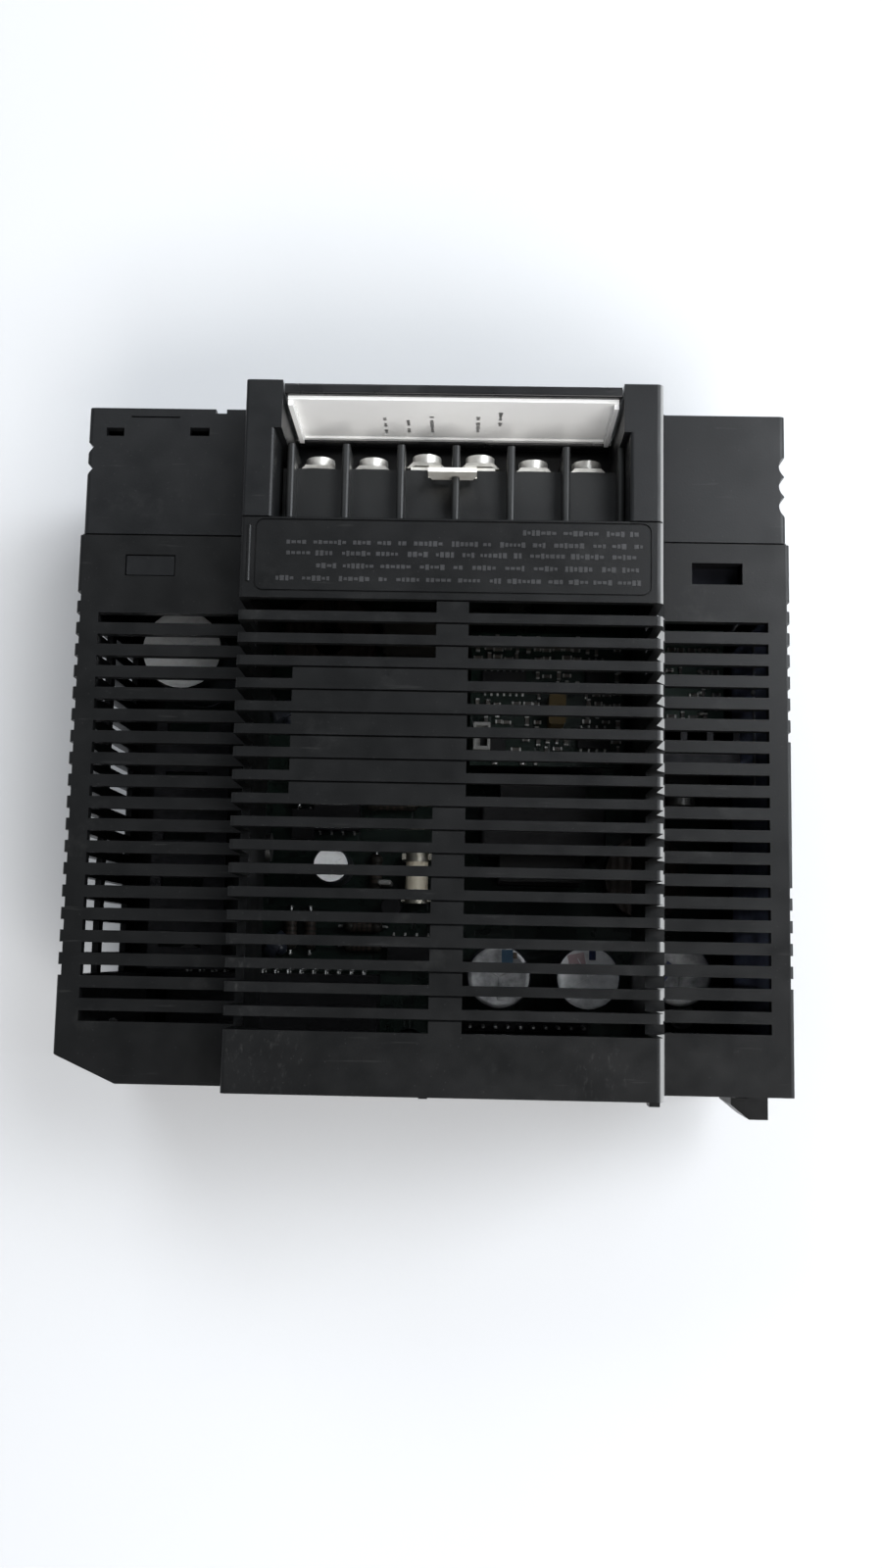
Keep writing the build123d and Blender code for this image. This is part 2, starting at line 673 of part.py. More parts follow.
# Transformer: an upright core with a coil former round its middle leg
core_x, core_y = 22.0, 48.0
core_low, core_high = 9.0, 31.0
yoke = 4.0
with BuildPart() as transformer_core:
    block(core_x - 12, core_x + 12, core_y - 5, core_y + 5, core_low, core_high)
    for side in (-1, 1):
        middle = core_x + side * 6.0
        block(middle - 2.5, middle + 2.5, core_y - 6, core_y + 6, core_low + yoke,
              core_high - yoke, mode=Mode.SUBTRACT)
    fillet(transformer_core.edges().filter_by(Axis.Y).group_by(Axis.Z)[-1], radius=0.6)
save(transformer_core, "transformer_core")

former_low, former_high = core_low + yoke, core_high - yoke
with BuildPart() as transformer_bobbin:
    block(core_x - 4.5, core_x + 4.5, core_y - 6, core_y + 6, former_low, former_high)
    for z in (former_low, former_high - 1):
        block(core_x - 8.3, core_x + 8.3, core_y - 10, core_y + 10, z, z + 1)
    block(core_x - 3.5, core_x + 3.5, core_y - 5, core_y + 5, former_low - 1, former_high + 1,
          mode=Mode.SUBTRACT)
    for side in (-1, 1):
        foot = core_y + side * 8.2
        block(core_x - 8.3, core_x + 8.3, foot - 1.8, foot + 1.8, board_top, former_low)
save(transformer_bobbin, "transformer_bobbin")

with BuildPart() as transformer_winding:
    with BuildSketch(Plane.XY.offset(former_low + 1)):
        with Locations((core_x, fwd(core_y))):
            RectangleRounded(15.6, 18.6, 3.0)
            Rectangle(9.0, 12.0, mode=Mode.SUBTRACT)
    extrude(amount=former_high - former_low - 2)
save(transformer_winding, "transformer_winding")

# Heatsinks: the primary one has a top flange, the output one is a comb
sink_face_x = -38.0
sink_back, sink_front = 20.0, 68.0
sink_top = 38.0
transistor_y, transistor_hole_z = 44.0, 24.0
rectifier_x, rectifier_hole_z = 49.0, 26.0
comb_face_y, comb_back_y = 60.0, 62.2
comb_low, comb_high = 41.8, 58.0
comb_top = 40.0
package_size, package_thickness = 10.0, 4.6
package_bottom = 12.0
lead_pitch = 2.8
sink_hole, sink_screw, sink_screw_head = 1.6, 1.5, 2.8
with BuildPart() as primary_heatsink:
    block(sink_face_x - 2, sink_face_x, sink_back, sink_front, board_top, sink_top)
    block(sink_face_x - 14, sink_face_x, sink_back, sink_front, sink_top - 2, sink_top)
    for i in range(5):
        y = sink_back + 4 + 10 * i
        block(sink_face_x - 12, sink_face_x - 4, y, y + 3, sink_top - 3, sink_top + 1,
              mode=Mode.SUBTRACT)
    along_x(transistor_y, transistor_hole_z, sink_hole, sink_face_x - 3, sink_face_x + 1,
            mode=Mode.SUBTRACT)
save(primary_heatsink, "primary_heatsink")

transistor_front_x = sink_face_x + package_thickness
with BuildPart() as switching_transistor:
    block(sink_face_x, transistor_front_x, transistor_y - package_size / 2,
          transistor_y + package_size / 2, package_bottom, 27.5)
    for lead in (-1, 0, 1):
        y = transistor_y + lead * lead_pitch
        block(sink_face_x + 1.8, sink_face_x + 2.6, y - 0.5, y + 0.5, board_top,
              package_bottom)
    along_x(transistor_y, transistor_hole_z, sink_hole, sink_face_x - 1,
            transistor_front_x + 1, mode=Mode.SUBTRACT)
save(switching_transistor, "switching_transistor")

with BuildPart() as output_heatsink:
    block(comb_low, comb_high, comb_face_y, comb_back_y, board_top, comb_top)
    for i in range(4):
        x = 42.0 + 4.9 * i
        block(x, x + 1.2, comb_back_y, comb_back_y + 5.8, board_top + 4, comb_top)
    along_y(rectifier_x, rectifier_hole_z, sink_hole, comb_face_y - 1, comb_back_y + 0.8,
            mode=Mode.SUBTRACT)
save(output_heatsink, "output_heatsink")

rectifier_face_y = comb_face_y - package_thickness
with BuildPart() as output_rectifier:
    block(rectifier_x - package_size / 2, rectifier_x + package_size / 2, rectifier_face_y,
          comb_face_y, package_bottom, 29.5)
    for lead in (-1, 0, 1):
        x = rectifier_x + lead * lead_pitch
        block(x - 0.5, x + 0.5, comb_face_y - 2.8, comb_face_y - 2, board_top, package_bottom)
    along_y(rectifier_x, rectifier_hole_z, sink_hole, rectifier_face_y - 1, comb_face_y + 1,
            mode=Mode.SUBTRACT)
save(output_rectifier, "output_rectifier")

with BuildPart() as heatsink_screws:
    along_x(transistor_y, transistor_hole_z, sink_screw, sink_face_x - 3.6,
            transistor_front_x + 0.4)
    along_x(transistor_y, transistor_hole_z, sink_screw_head, transistor_front_x,
            transistor_front_x + 2)
    along_y(rectifier_x, rectifier_hole_z, sink_screw, rectifier_face_y - 0.4, comb_back_y)
    along_y(rectifier_x, rectifier_hole_z, sink_screw_head, rectifier_face_y - 2,
            rectifier_face_y)
save(heatsink_screws, "heatsink_screws")


def ring_coil(core_name, coil_name, x, y, radius, height):
    """A ring core lying flat, with a winding wrapped round most of it."""
    bottom = board_top + 1.2
    with BuildPart() as core:
        upright(x, y, radius, bottom, bottom + height)
        upright(x, y, radius * 0.5, bottom - 1, bottom + height + 1, mode=Mode.SUBTRACT)
    save(core, core_name)
    with BuildPart() as coil:
        upright(x, y, radius + 1.0, bottom - 1.0, bottom + height + 1.0)
        upright(x, y, radius * 0.5 - 1.0, bottom - 2, bottom + height + 2, mode=Mode.SUBTRACT)
        upright(x, y, radius, bottom, bottom + height, mode=Mode.SUBTRACT)
        block(x - 1.5, x + 1.5, y, y + radius + 2, bottom - 2, bottom + height + 2,
              mode=Mode.SUBTRACT)
        add(core.part, mode=Mode.SUBTRACT)
        upright(x, y, radius * 0.5, bottom, bottom + height)
        upright(x, y, radius * 0.5 - 1.0, bottom - 2, bottom + height + 2, mode=Mode.SUBTRACT)
        block(x - 1.5, x + 1.5, y, y + radius + 2, bottom - 2, bottom + height + 2,
              mode=Mode.SUBTRACT)
    save(coil, coil_name)


ring_coil("choke_core", "choke_winding", -22.0, 88.0, 8.5, 7.0)
ring_coil("inductor_core", "inductor_winding", 44.0, 40.0, 7.5, 6.0)

with BuildPart() as input_capacitor:
    block(-10.5, 7.5, 84.0, 92.0, board_top, board_top + 14)
    fillet(input_capacitor.edges().filter_by(Axis.Z), radius=0.8)
save(input_capacitor, "input_capacitor")

# Control board, on two pin headers above the main board
with BuildPart() as control_board:
    block(7.5, 37.5, 60.5, 87.0, control_level, control_level + board_thickness)
save(control_board, "control_board")

with BuildPart() as control_headers:
    for y in (62.0, 83.0):
        block(10.0, 35.4, y, y + 2.5, board_top, board_top + 2.5)
        for i in range(10):
            x = 11.0 + 2.54 * i
            block(x - 0.32, x + 0.32, y + 0.93, y + 1.57, board_top + 2.5, control_level)
save(control_headers, "control_headers")

with BuildPart() as film_capacitor:
    film_bottom = control_level + board_thickness
    block(22.5, 25.7, 67.8, 73.8, film_bottom, film_bottom + 7.0)
    fillet(film_capacitor.edges().filter_by(Axis.Z), radius=0.6)
save(film_capacitor, "film_capacitor")

# Backplane connector: a socket block in the rear opening, with bent pins to the main board
first_pin = (connector_low + connector_high - pin_pitch * (pins - 1)) / 2
with BuildPart() as backplane_connector:
    block(connector_low, connector_high, connector_back, connector_front, connector_bottom,
          connector_top)
    pin_places = [(first_pin + pin_pitch * i, z) for i in range(pins) for z in connector_rows]
    with Locations(*[(x, fwd(2.0), z) for x, z in pin_places]):
        Box(1.4, 6.0, 1.4, mode=Mode.SUBTRACT)
    # Passages for the pins, forward and then down to the board
    for z, bend in zip(connector_rows, pin_bends):
        with Locations(*[(first_pin + pin_pitch * i, fwd(bend / 2 + 2), z) for i in range(pins)]):
            Box(0.7, bend - 3.9, 0.7, mode=Mode.SUBTRACT)
        with Locations(*[(first_pin + pin_pitch * i, fwd(bend - 0.3), z / 2 + 4)
                         for i in range(pins)]):
            Box(0.7, 0.7, z - 7.3, mode=Mode.SUBTRACT)
save(backplane_connector, "backplane_connector")

with BuildPart() as connector_pins:
    for i in range(pins):
        x = first_pin + pin_pitch * i
        for z, back in zip(connector_rows, pin_bends):
            block(x - 0.3, x + 0.3, 3.0, back, z - 0.3, z + 0.3)
            block(x - 0.3, x + 0.3, back - 0.6, back, board_top, z + 0.3)
save(connector_pins, "connector_pins")

# Indicators behind a lens in the front face
lamp_levels = [15.5, 19.8, 24.1, 28.4]
with BuildPart() as indicator_lens:
    block(lens_low + 0.15, lens_high - 0.15, bezel_front - 0.8, bezel_front,
          lens_bottom + 0.15, lens_top - 0.15)
    block(lens_low + lens_rim + 0.2, lens_high - lens_rim - 0.2, bezel_front - wall,
          bezel_front - 0.8, lens_bottom + lens_rim + 0.2, lens_top - lens_rim - 0.2)
save(indicator_lens, "indicator_lens")

with BuildPart() as indicator_board:
    block(43.5, 58.5, 109.5, 111.1, board_top, 33.0)
save(indicator_board, "indicator_board")

with BuildPart() as indicator_lamps:
    for z in lamp_levels:
        along_y(51.0, z, 1.5, 111.1, 117.5)
        with Locations((51.0, fwd(117.5), z)):
            Sphere(1.5)
save(indicator_lamps, "indicator_lamps")

# Release lever: a finger tab in front of its pivot, a catch behind it
with BuildPart() as release_lever:
    with BuildSketch(Plane.XY.offset(lever_bottom)):
        Polygon(
            (lever_x - 2.4, fwd(lever_y + 1.0)),
            (-64.6, fwd(14.0)),
            (-64.6, fwd(16.4)),
            (-62.4, fwd(16.4)),
            (-62.0, fwd(13.0)),
            (lever_x + 2.2, fwd(lever_y + 1.0)),
            (lever_x + 2.2, fwd(4.6)),
            (pocket_floor - 1.0, fwd(3.4)),
            (pocket_floor - 1.0, fwd(1.6)),
            (-61.6, fwd(1.6)),
            (-62.6, fwd(5.0)),
            align=None,
        )
        with Locations((lever_x, fwd(lever_y))):
            Circle(2.5)
    extrude(amount=lever_top - lever_bottom)
    upright(lever_x, lever_y, lever_pin_radius + 0.05, lever_bottom - 1, lever_top + 1,
            mode=Mode.SUBTRACT)
save(release_lever, "release_lever")

with BuildPart() as lever_pin:
    upright(lever_x, lever_y, lever_pin_radius, lever_bottom - pocket_wall,
            lever_top + pocket_wall)
save(lever_pin, "lever_pin")

# Coil spring between the pocket's inner wall and the lever's finger tab
spring_from, spring_to = -62.2, pocket_floor
spring_y = 14.8
spring_z = (lever_bottom + lever_top) / 2
coils = 5
spring_length = spring_to - spring_from - 0.6
spring_start = (spring_from + 0.3, fwd(spring_y), spring_z)
with BuildPart() as lever_spring:
    with BuildLine() as wire:
        Helix(pitch=spring_length / coils, height=spring_length, radius=1.3,
              center=spring_start, direction=(1, 0, 0))
    with BuildSketch(Plane(wire.line @ 0, z_dir=wire.line % 0)):
        Circle(0.22)
    sweep(path=wire.line, is_frenet=True)
save(lever_spring, "lever_spring")

# Case screws: driven from the left side through the pillars
cross_reach, cross_width = 1.8, 0.3
with BuildPart() as case_screws:
    for x, y in case_screw_places:
        upright(x, y, screw_recess - 0.15, 0.2, screw_recess_depth)
        upright(x, y, screw_bite - 0.05, 1.0, 41.0)
        for reach_x, reach_y in ((cross_reach, cross_width), (cross_width, cross_reach)):
            block(x - reach_x, x + reach_x, y - reach_y, y + reach_y, 0, 0.9,
                  mode=Mode.SUBTRACT)
save(case_screws, "case_screws")
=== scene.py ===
"""Looks of a plug-in power supply module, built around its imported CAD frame.

The module lies on its left side on a pale table: +X is its top end, +Y its front face and +Z its
right side. Lengths are in metres; MM turns the small sizes of parts into metres.
"""

import json
import math
import random

import bmesh
import bpy
from mathutils import Matrix, Vector


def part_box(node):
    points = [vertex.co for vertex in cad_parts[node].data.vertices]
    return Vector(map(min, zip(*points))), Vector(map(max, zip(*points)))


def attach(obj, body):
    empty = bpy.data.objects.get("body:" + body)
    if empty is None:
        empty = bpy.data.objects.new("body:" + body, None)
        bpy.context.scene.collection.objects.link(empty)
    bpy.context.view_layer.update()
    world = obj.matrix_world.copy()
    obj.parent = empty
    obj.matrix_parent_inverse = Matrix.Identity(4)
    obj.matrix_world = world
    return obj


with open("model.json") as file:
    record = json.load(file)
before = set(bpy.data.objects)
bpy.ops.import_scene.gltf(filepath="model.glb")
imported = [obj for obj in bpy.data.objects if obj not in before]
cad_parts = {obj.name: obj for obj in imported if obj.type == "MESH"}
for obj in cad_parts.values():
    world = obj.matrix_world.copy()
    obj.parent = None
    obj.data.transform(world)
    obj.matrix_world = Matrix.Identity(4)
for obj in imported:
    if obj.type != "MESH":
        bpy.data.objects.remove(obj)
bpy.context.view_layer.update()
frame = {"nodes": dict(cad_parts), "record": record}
nodes = frame["nodes"]
MM = 0.001
random.seed(24)

# The left shell's hook stands out behind the case's rear face
hook_reach = 6.2 * MM
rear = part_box("left_shell")[0].y + hook_reach
band_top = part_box("front_bezel")[1].z


def fwd(distance):
    """Y of a place some millimetres in front of the case's rear face."""
    return rear + distance * MM


# ---------------------------------------------------------------- materials


class Finish:
    """A procedural material: a Principled shader with textures laid out in object space."""

    def __init__(self, name, colour, roughness=0.5, metallic=0.0, **fixed):
        self.material = bpy.data.materials.new(name)
        self.material.use_nodes = True
        self.tree = self.material.node_tree
        self.shader = self.tree.nodes["Principled BSDF"]
        self.place = self.node("ShaderNodeTexCoord").outputs["Object"]
        self.set("Base Color", (*colour, 1.0))
        self.set("Roughness", roughness)
        self.set("Metallic", metallic)
        for key, value in fixed.items():
            self.set(key.replace("_", " "), value)

    def node(self, kind, **options):
        made = self.tree.nodes.new(kind)
        for key, value in options.items():
            setattr(made, key, value)
        return made

    def set(self, socket, value):
        self.shader.inputs[socket].default_value = value

    def link(self, output, target):
        self.tree.links.new(output, target)

    def stretched(self, stretch):
        """Object coordinates, scaled along each axis."""
        mapping = self.node("ShaderNodeMapping")
        mapping.inputs["Scale"].default_value = stretch
        self.link(self.place, mapping.inputs["Vector"])
        return mapping.outputs["Vector"]

    def noise(self, scale, detail, stretch=None, roughness=0.55):
        """Noise with `scale` grains to the metre."""
        made = self.node("ShaderNodeTexNoise")
        made.inputs["Scale"].default_value = scale
        made.inputs["Detail"].default_value = detail
        made.inputs["Roughness"].default_value = roughness
        self.link(self.stretched(stretch) if stretch else self.place, made.inputs["Vector"])
        return made.outputs["Fac"]

    def cells(self, scale, stretch=None, feature="F1"):
        """Distances in a field of cells with `scale` cells to the metre."""
        made = self.node("ShaderNodeTexVoronoi", feature=feature)
        made.inputs["Scale"].default_value = scale
        self.link(self.stretched(stretch) if stretch else self.place, made.inputs["Vector"])
        return made.outputs["Distance"]

    def band(self, value, low, high, to_low=0.0, to_high=1.0):
        """Stretches a value's range low to high over to_low to to_high."""
        made = self.node("ShaderNodeMapRange")
        self.link(value, made.inputs["Value"])
        limits = {"From Min": low, "From Max": high, "To Min": to_low, "To Max": to_high}
        for key, number in limits.items():
            made.inputs[key].default_value = number
        return made.outputs["Result"]

    def sums(self, operation, first, second):
        """The result of a sum. Each term is a number or the output of another node."""
        made = self.node("ShaderNodeMath", operation=operation)
        for socket, value in zip(made.inputs, (first, second)):
            if isinstance(value, (int, float)):
                socket.default_value = value
            else:
                self.link(value, socket)
        return made.outputs["Value"]

    def blend(self, amount, first, second):
        """Mixes two colours. Each is a tuple or the output of another node."""
        made = self.node("ShaderNodeMix", data_type="RGBA")
        self.link(amount, made.inputs["Factor"])
        for key, value in (("A", first), ("B", second)):
            socket = [s for s in made.inputs if s.name == key and s.type == "RGBA"][0]
            if isinstance(value, tuple):
                socket.default_value = (*value, 1.0)
            else:
                self.link(value, socket)
        return [s for s in made.outputs if s.type == "RGBA"][0]

    def colour(self, output):
        self.link(output, self.shader.inputs["Base Color"])

    def roughness(self, output):
        self.link(output, self.shader.inputs["Roughness"])

    def bump(self, *layers):
        """Bumps from (height, depth in metres) layers, one on top of another."""
        normal = None
        for height, depth in layers:
            made = self.node("ShaderNodeBump")
            made.inputs["Strength"].default_value = 1.0
            made.inputs["Distance"].default_value = depth
            self.link(height, made.inputs["Height"])
            if normal is not None:
                self.link(normal, made.inputs["Normal"])
            normal = made.outputs["Normal"]
        self.link(normal, self.shader.inputs["Normal"])

    def facing(self, axis):
        """The part of the surface's normal along one axis."""
        split = self.node("ShaderNodeSeparateXYZ")
        self.link(self.node("ShaderNodeNewGeometry").outputs["Normal"], split.inputs["Vector"])
        return split.outputs[axis]

    def upward(self):
        """1 on faces that look up, 0 on the others."""
        return self.band(self.facing("Z"), 0.6, 0.95)

    def along(self, axis):
        """The coordinate along one axis."""
        split = self.node("ShaderNodeSeparateXYZ")
        self.link(self.place, split.inputs["Vector"])
        return split.outputs[axis]

    def highlight_edge(self, low, high, floor, front):
        """The painted highlight's mask: 1 on slopes that face up and +X, with X between low and high,
        and 0 elsewhere.

        In front of the Y called front, only slopes above the Z called floor count.
        """
        x = self.along("X")
        inside = self.sums("MULTIPLY", self.sums("GREATER_THAN", x, low),
                           self.sums("LESS_THAN", x, high))
        reached = self.sums("MAXIMUM", self.sums("GREATER_THAN", self.along("Z"), floor),
                            self.sums("LESS_THAN", self.along("Y"), front))
        slope = self.sums("MULTIPLY", self.band(self.facing("X"), 0.35, 0.7),
                          self.band(self.facing("Z"), 0.08, 0.25))
        return self.sums("MULTIPLY", self.sums("MULTIPLY", inside, reached), slope)

    def around(self, centre, inner, outer):
        """1 within the inner distance of a place, falling to 0 at the outer distance."""
        apart = self.node("ShaderNodeVectorMath", operation="DISTANCE")
        self.link(self.place, apart.inputs[0])
        apart.inputs[1].default_value = centre
        return self.band(apart.outputs["Value"], inner, outer, 1.0, 0.0)


# The raised band's edge towards the module's top end, painted pale as a painted highlight where light
# glints off its slopes: between two X, and in front of a Y only above a Z
highlight_span = (36.0 * MM, 45.0 * MM)
highlight_floor = 56.0 * MM
highlight_front = fwd(85.0)
scuff_colour = (0.32, 0.32, 0.31)


def moulded(name, colour, lighter, roughness, grain=2600.0, depth=0.012 * MM, worn=0.0, edge_highlight=0.0,
            scuffed=(), **fixed):
    """Moulded plastic with a fine spark-eroded grain and faint mottling.

    `worn` is the strength of its dust, scuffs and hair scratches, and `scuffed` lists places with
    more of them, each with its radius. The edge highlight number is how pale the raised band's edge
    is painted: a painted highlight where light glints off its slopes.
    """
    finish = Finish(name, colour, roughness, **fixed)
    mottle = finish.band(finish.noise(45.0, 4.0), 0.35, 0.7)
    tone = finish.blend(mottle, colour, lighter)
    fine = finish.noise(grain, 2.0)
    rough = finish.band(finish.noise(160.0, 4.0), 0.3, 0.7, roughness - 0.05, roughness + 0.07)
    if worn:
        scuff = finish.band(finish.noise(70.0, 6.0, roughness=0.7), 0.60, 0.78, 0.0, worn)
        scratch = finish.noise(90.0, 2.0, stretch=(1.0, 14.0, 1.0))
        scratch = finish.band(scratch, 0.70, 0.74, 0.0, worn * 0.6)
        dust = finish.band(finish.cells(700.0), 0.10, 0.04, 0.0, worn * 1.3)
        dust = finish.sums("MULTIPLY", dust, finish.upward())
        marks = finish.sums("ADD", finish.sums("ADD", scuff, scratch), dust)
        for spot, radius in scuffed:
            streak = finish.noise(1100.0, 4.0, stretch=(1.0, 0.4, 1.0), roughness=0.7)
            streak = finish.band(streak, 0.56, 0.75, 0.0, 0.04)
            near = finish.around(spot, radius * 0.4, radius)
            marks = finish.sums("ADD", marks, finish.sums("MULTIPLY", streak, near))
        tone = finish.blend(marks, tone, scuff_colour)
        rough = finish.sums("ADD", rough, finish.sums("MULTIPLY", scuff, 0.3))
    # Painted highlight: the raised band's edge is painted pale where light glints off its slopes
    if edge_highlight:
        edge = finish.highlight_edge(*highlight_span, highlight_floor, highlight_front)
        tone = finish.blend(edge, tone, (edge_highlight, edge_highlight, edge_highlight * 0.98))
    finish.colour(tone)
    finish.roughness(rough)
    finish.bump((finish.noise(30.0, 2.0), depth * 6), (fine, depth))
    return finish.material


def metal(name, colour, darker, roughness, grain=(1.0, 1.0, 12.0), depth=0.006 * MM, metallic=1.0):
    """Drawn or plated metal: brushed along one direction, with dull patches."""
    finish = Finish(name, colour, roughness, metallic)
    dull = finish.band(finish.noise(420.0, 5.0), 0.4, 0.75)
    finish.colour(finish.blend(dull, colour, darker))
    smears = finish.noise(260.0, 4.0)
    finish.roughness(finish.band(smears, 0.3, 0.75, roughness - 0.06, roughness + 0.14))
    finish.bump((finish.noise(2200.0, 2.0, stretch=grain), depth))
    return finish.material


def coated(name, colour, lighter, roughness, coat=0.0, grain=900.0, depth=0.01 * MM, **fixed):
    """Painted, dipped or sleeved surfaces: smooth, faintly wavy, a little uneven in colour."""
    finish = Finish(name, colour, roughness, Coat_Weight=coat, **fixed)
    finish.colour(finish.blend(finish.band(finish.noise(240.0, 4.0), 0.35, 0.7), colour, lighter))
    smears = finish.noise(380.0, 3.0)
    finish.roughness(finish.band(smears, 0.3, 0.7, roughness - 0.04, roughness + 0.08))
    finish.bump((finish.noise(grain, 2.0), depth))
    return finish.material


def circuit_board():
    """Green solder mask over copper tracks, which show as raised, slightly lighter paths."""
    # The mask's colours are darkened far below its own green: painted shade for the inside of the case
    finish = Finish("circuit_board", (0.003, 0.008, 0.006), 0.36, Specular_IOR_Level=0.2)
    across = finish.cells(260.0, stretch=(1.0, 0.22, 1.0), feature="DISTANCE_TO_EDGE")
    along = finish.cells(230.0, stretch=(0.2, 1.0, 1.0), feature="DISTANCE_TO_EDGE")
    tracks = finish.sums("MAXIMUM", finish.band(across, 0.05, 0.09), finish.band(along, 0.06, 0.1))
    tone = finish.blend(tracks, (0.0030, 0.0055, 0.0044), (0.0050, 0.0105, 0.0078))
    haze = finish.band(finish.noise(120.0, 4.0), 0.45, 0.85, 0.0, 0.4)
    finish.colour(finish.blend(haze, tone, (0.008, 0.010, 0.009)))
    finish.roughness(finish.band(finish.noise(200.0, 3.0), 0.3, 0.7, 0.24, 0.42))
    finish.bump((tracks, 0.03 * MM), (finish.noise(1500.0, 2.0), 0.004 * MM))
    return finish.material


def wound(name, colour, darker, turns, stretch, roughness=0.3, metallic=0.0, **fixed):
    """Enamelled wire or tape laid turn beside turn."""
    finish = Finish(name, colour, roughness, metallic, **fixed)
    waves = finish.node("ShaderNodeTexWave", wave_type="BANDS", bands_direction="X")
    waves.inputs["Scale"].default_value = turns
    waves.inputs["Distortion"].default_value = 0.6
    finish.link(finish.stretched(stretch), waves.inputs["Vector"])
    patch = finish.band(finish.noise(300.0, 4.0), 0.4, 0.7)
    finish.colour(finish.blend(patch, colour, darker))
    finish.roughness(finish.band(finish.noise(500.0, 3.0), 0.3, 0.7, roughness, roughness + 0.2))
    finish.bump((waves.outputs["Fac"], 0.1 * MM))
    return finish.material


def lens():
    """Smoked clear plastic, lightly scratched."""
    finish = Finish("lens_plastic", (0.42, 0.43, 0.45), 0.12, Transmission_Weight=0.85, IOR=1.49)
    finish.roughness(finish.band(finish.noise(500.0, 3.0), 0.4, 0.75, 0.08, 0.24))
    finish.bump((finish.noise(120.0, 2.0), 0.02 * MM))
    return finish.material


def printed_label():
    """White moulded tray with a satin printed insert, a little yellowed and dusty."""
    white = (0.96, 0.96, 0.95)
    finish = Finish("label_plastic", white, 0.42)
    soil = finish.band(finish.noise(110.0, 5.0), 0.5, 0.85, 0.0, 0.3)
    finish.colour(finish.blend(soil, white, (0.80, 0.80, 0.77)))
    finish.roughness(finish.band(finish.noise(240.0, 3.0), 0.3, 0.7, 0.34, 0.55))
    finish.bump((finish.noise(1800.0, 2.0), 0.008 * MM))
    return finish.material


# Parts deep inside, dusty and out of the light, hardly shine
dusty = {"Specular_IOR_Level": 0.12}

# Scratched places, each with its radius: the raised band's rear corners, and its edge towards the
# module's bottom end
band_scuffs = (((-27.5 * MM, fwd(7.0), band_top), 11.0 * MM),
               ((-32.0 * MM, fwd(22.0), band_top), 12.0 * MM),
               ((30.0 * MM, fwd(5.0), band_top), 8.0 * MM))

finishes = {
    "case_plastic": moulded("case_plastic", (0.0039, 0.0041, 0.0042), (0.0057, 0.0059, 0.0061), 0.34,
                            worn=0.03, edge_highlight=0.22, scuffed=band_scuffs,
                            Specular_IOR_Level=0.20),
    "terminal_plastic": moulded("terminal_plastic", (0.0110, 0.0115, 0.0115),
                                (0.0155, 0.0160, 0.0160), 0.36, worn=0.03,
                                Specular_IOR_Level=0.3),
    "door_plastic": moulded("door_plastic", (0.0045, 0.0045, 0.005), (0.007, 0.007, 0.0075), 0.30,
                            worn=0.03, Specular_IOR_Level=0.3),
    "label_plastic": printed_label(),
    "plated_steel": metal("plated_steel", (0.66, 0.64, 0.59), (0.40, 0.38, 0.34), 0.34, metallic=0.85),
    "screw_steel": metal("screw_steel", (0.78, 0.77, 0.73), (0.44, 0.43, 0.40), 0.36, metallic=0.7),
    "strap_metal": metal("strap_metal", (0.86, 0.84, 0.78), (0.70, 0.67, 0.60), 0.42, metallic=0.55),
    "pin_steel": metal("pin_steel", (0.58, 0.58, 0.58), (0.40, 0.40, 0.40), 0.25),
    "spring_steel": metal("spring_steel", (0.50, 0.50, 0.50), (0.32, 0.31, 0.30), 0.30),
    "circuit_board": circuit_board(),
    "capacitor_sleeve": coated("capacitor_sleeve", (0.012, 0.0125, 0.016), (0.020, 0.021, 0.026), 0.32,
                               coat=0.2),
    "fuse_ceramic": coated("fuse_ceramic", (0.72, 0.66, 0.52), (0.60, 0.53, 0.40), 0.35),
    "plated_brass": metal("plated_brass", (0.46, 0.44, 0.38), (0.28, 0.26, 0.21), 0.36),
    "ferrite": coated("ferrite", (0.0040, 0.0040, 0.0043), (0.0070, 0.0070, 0.0073), 0.55, grain=1500.0,
                      depth=0.04 * MM, **dusty),
    "bobbin_plastic": moulded("bobbin_plastic", (0.004, 0.004, 0.004), (0.006, 0.006, 0.006), 0.45,
                               **dusty),
    "winding_tape": wound("winding_tape", (0.040, 0.030, 0.010), (0.026, 0.021, 0.009), 20.0,
                          (0.0, 0.0, 12.0), roughness=0.3, **dusty),
    "dark_aluminium": metal("dark_aluminium", (0.026, 0.026, 0.028), (0.042, 0.042, 0.044), 0.5,
                            grain=(1.0, 8.0, 1.0)),
    "component_epoxy": moulded("component_epoxy", (0.006, 0.006, 0.0065), (0.010, 0.010, 0.0105), 0.45,
                               grain=4200.0, **dusty),
    # The windings' copper is darkened nearly to black: painted shade for the inside of the case
    "copper_winding": wound("copper_winding", (0.013, 0.0095, 0.0075), (0.008, 0.0065, 0.0055), 32.0,
                            (6.0, 6.0, 0.0), roughness=0.45, metallic=0.2, **dusty),
    "iron_powder": coated("iron_powder", (0.009, 0.010, 0.008), (0.006, 0.007, 0.0055), 0.5,
                          **dusty),
    "box_capacitor": moulded("box_capacitor", (0.009, 0.0085, 0.0075), (0.014, 0.013, 0.011), 0.45,
                             **dusty),
    "film_dip": coated("film_dip", (0.034, 0.024, 0.008), (0.050, 0.033, 0.009), 0.4, **dusty),
    "connector_plastic": moulded("connector_plastic", (0.006, 0.006, 0.0065), (0.009, 0.009, 0.0095),
                                 0.42, **dusty),
    "lens_plastic": lens(),
    "lamp_plastic": coated("lamp_plastic", (0.05, 0.15, 0.05), (0.08, 0.20, 0.08), 0.35),
    "lever_plastic": moulded("lever_plastic", (0.009, 0.009, 0.0095), (0.014, 0.014, 0.0145), 0.4,
                             worn=0.05),
}
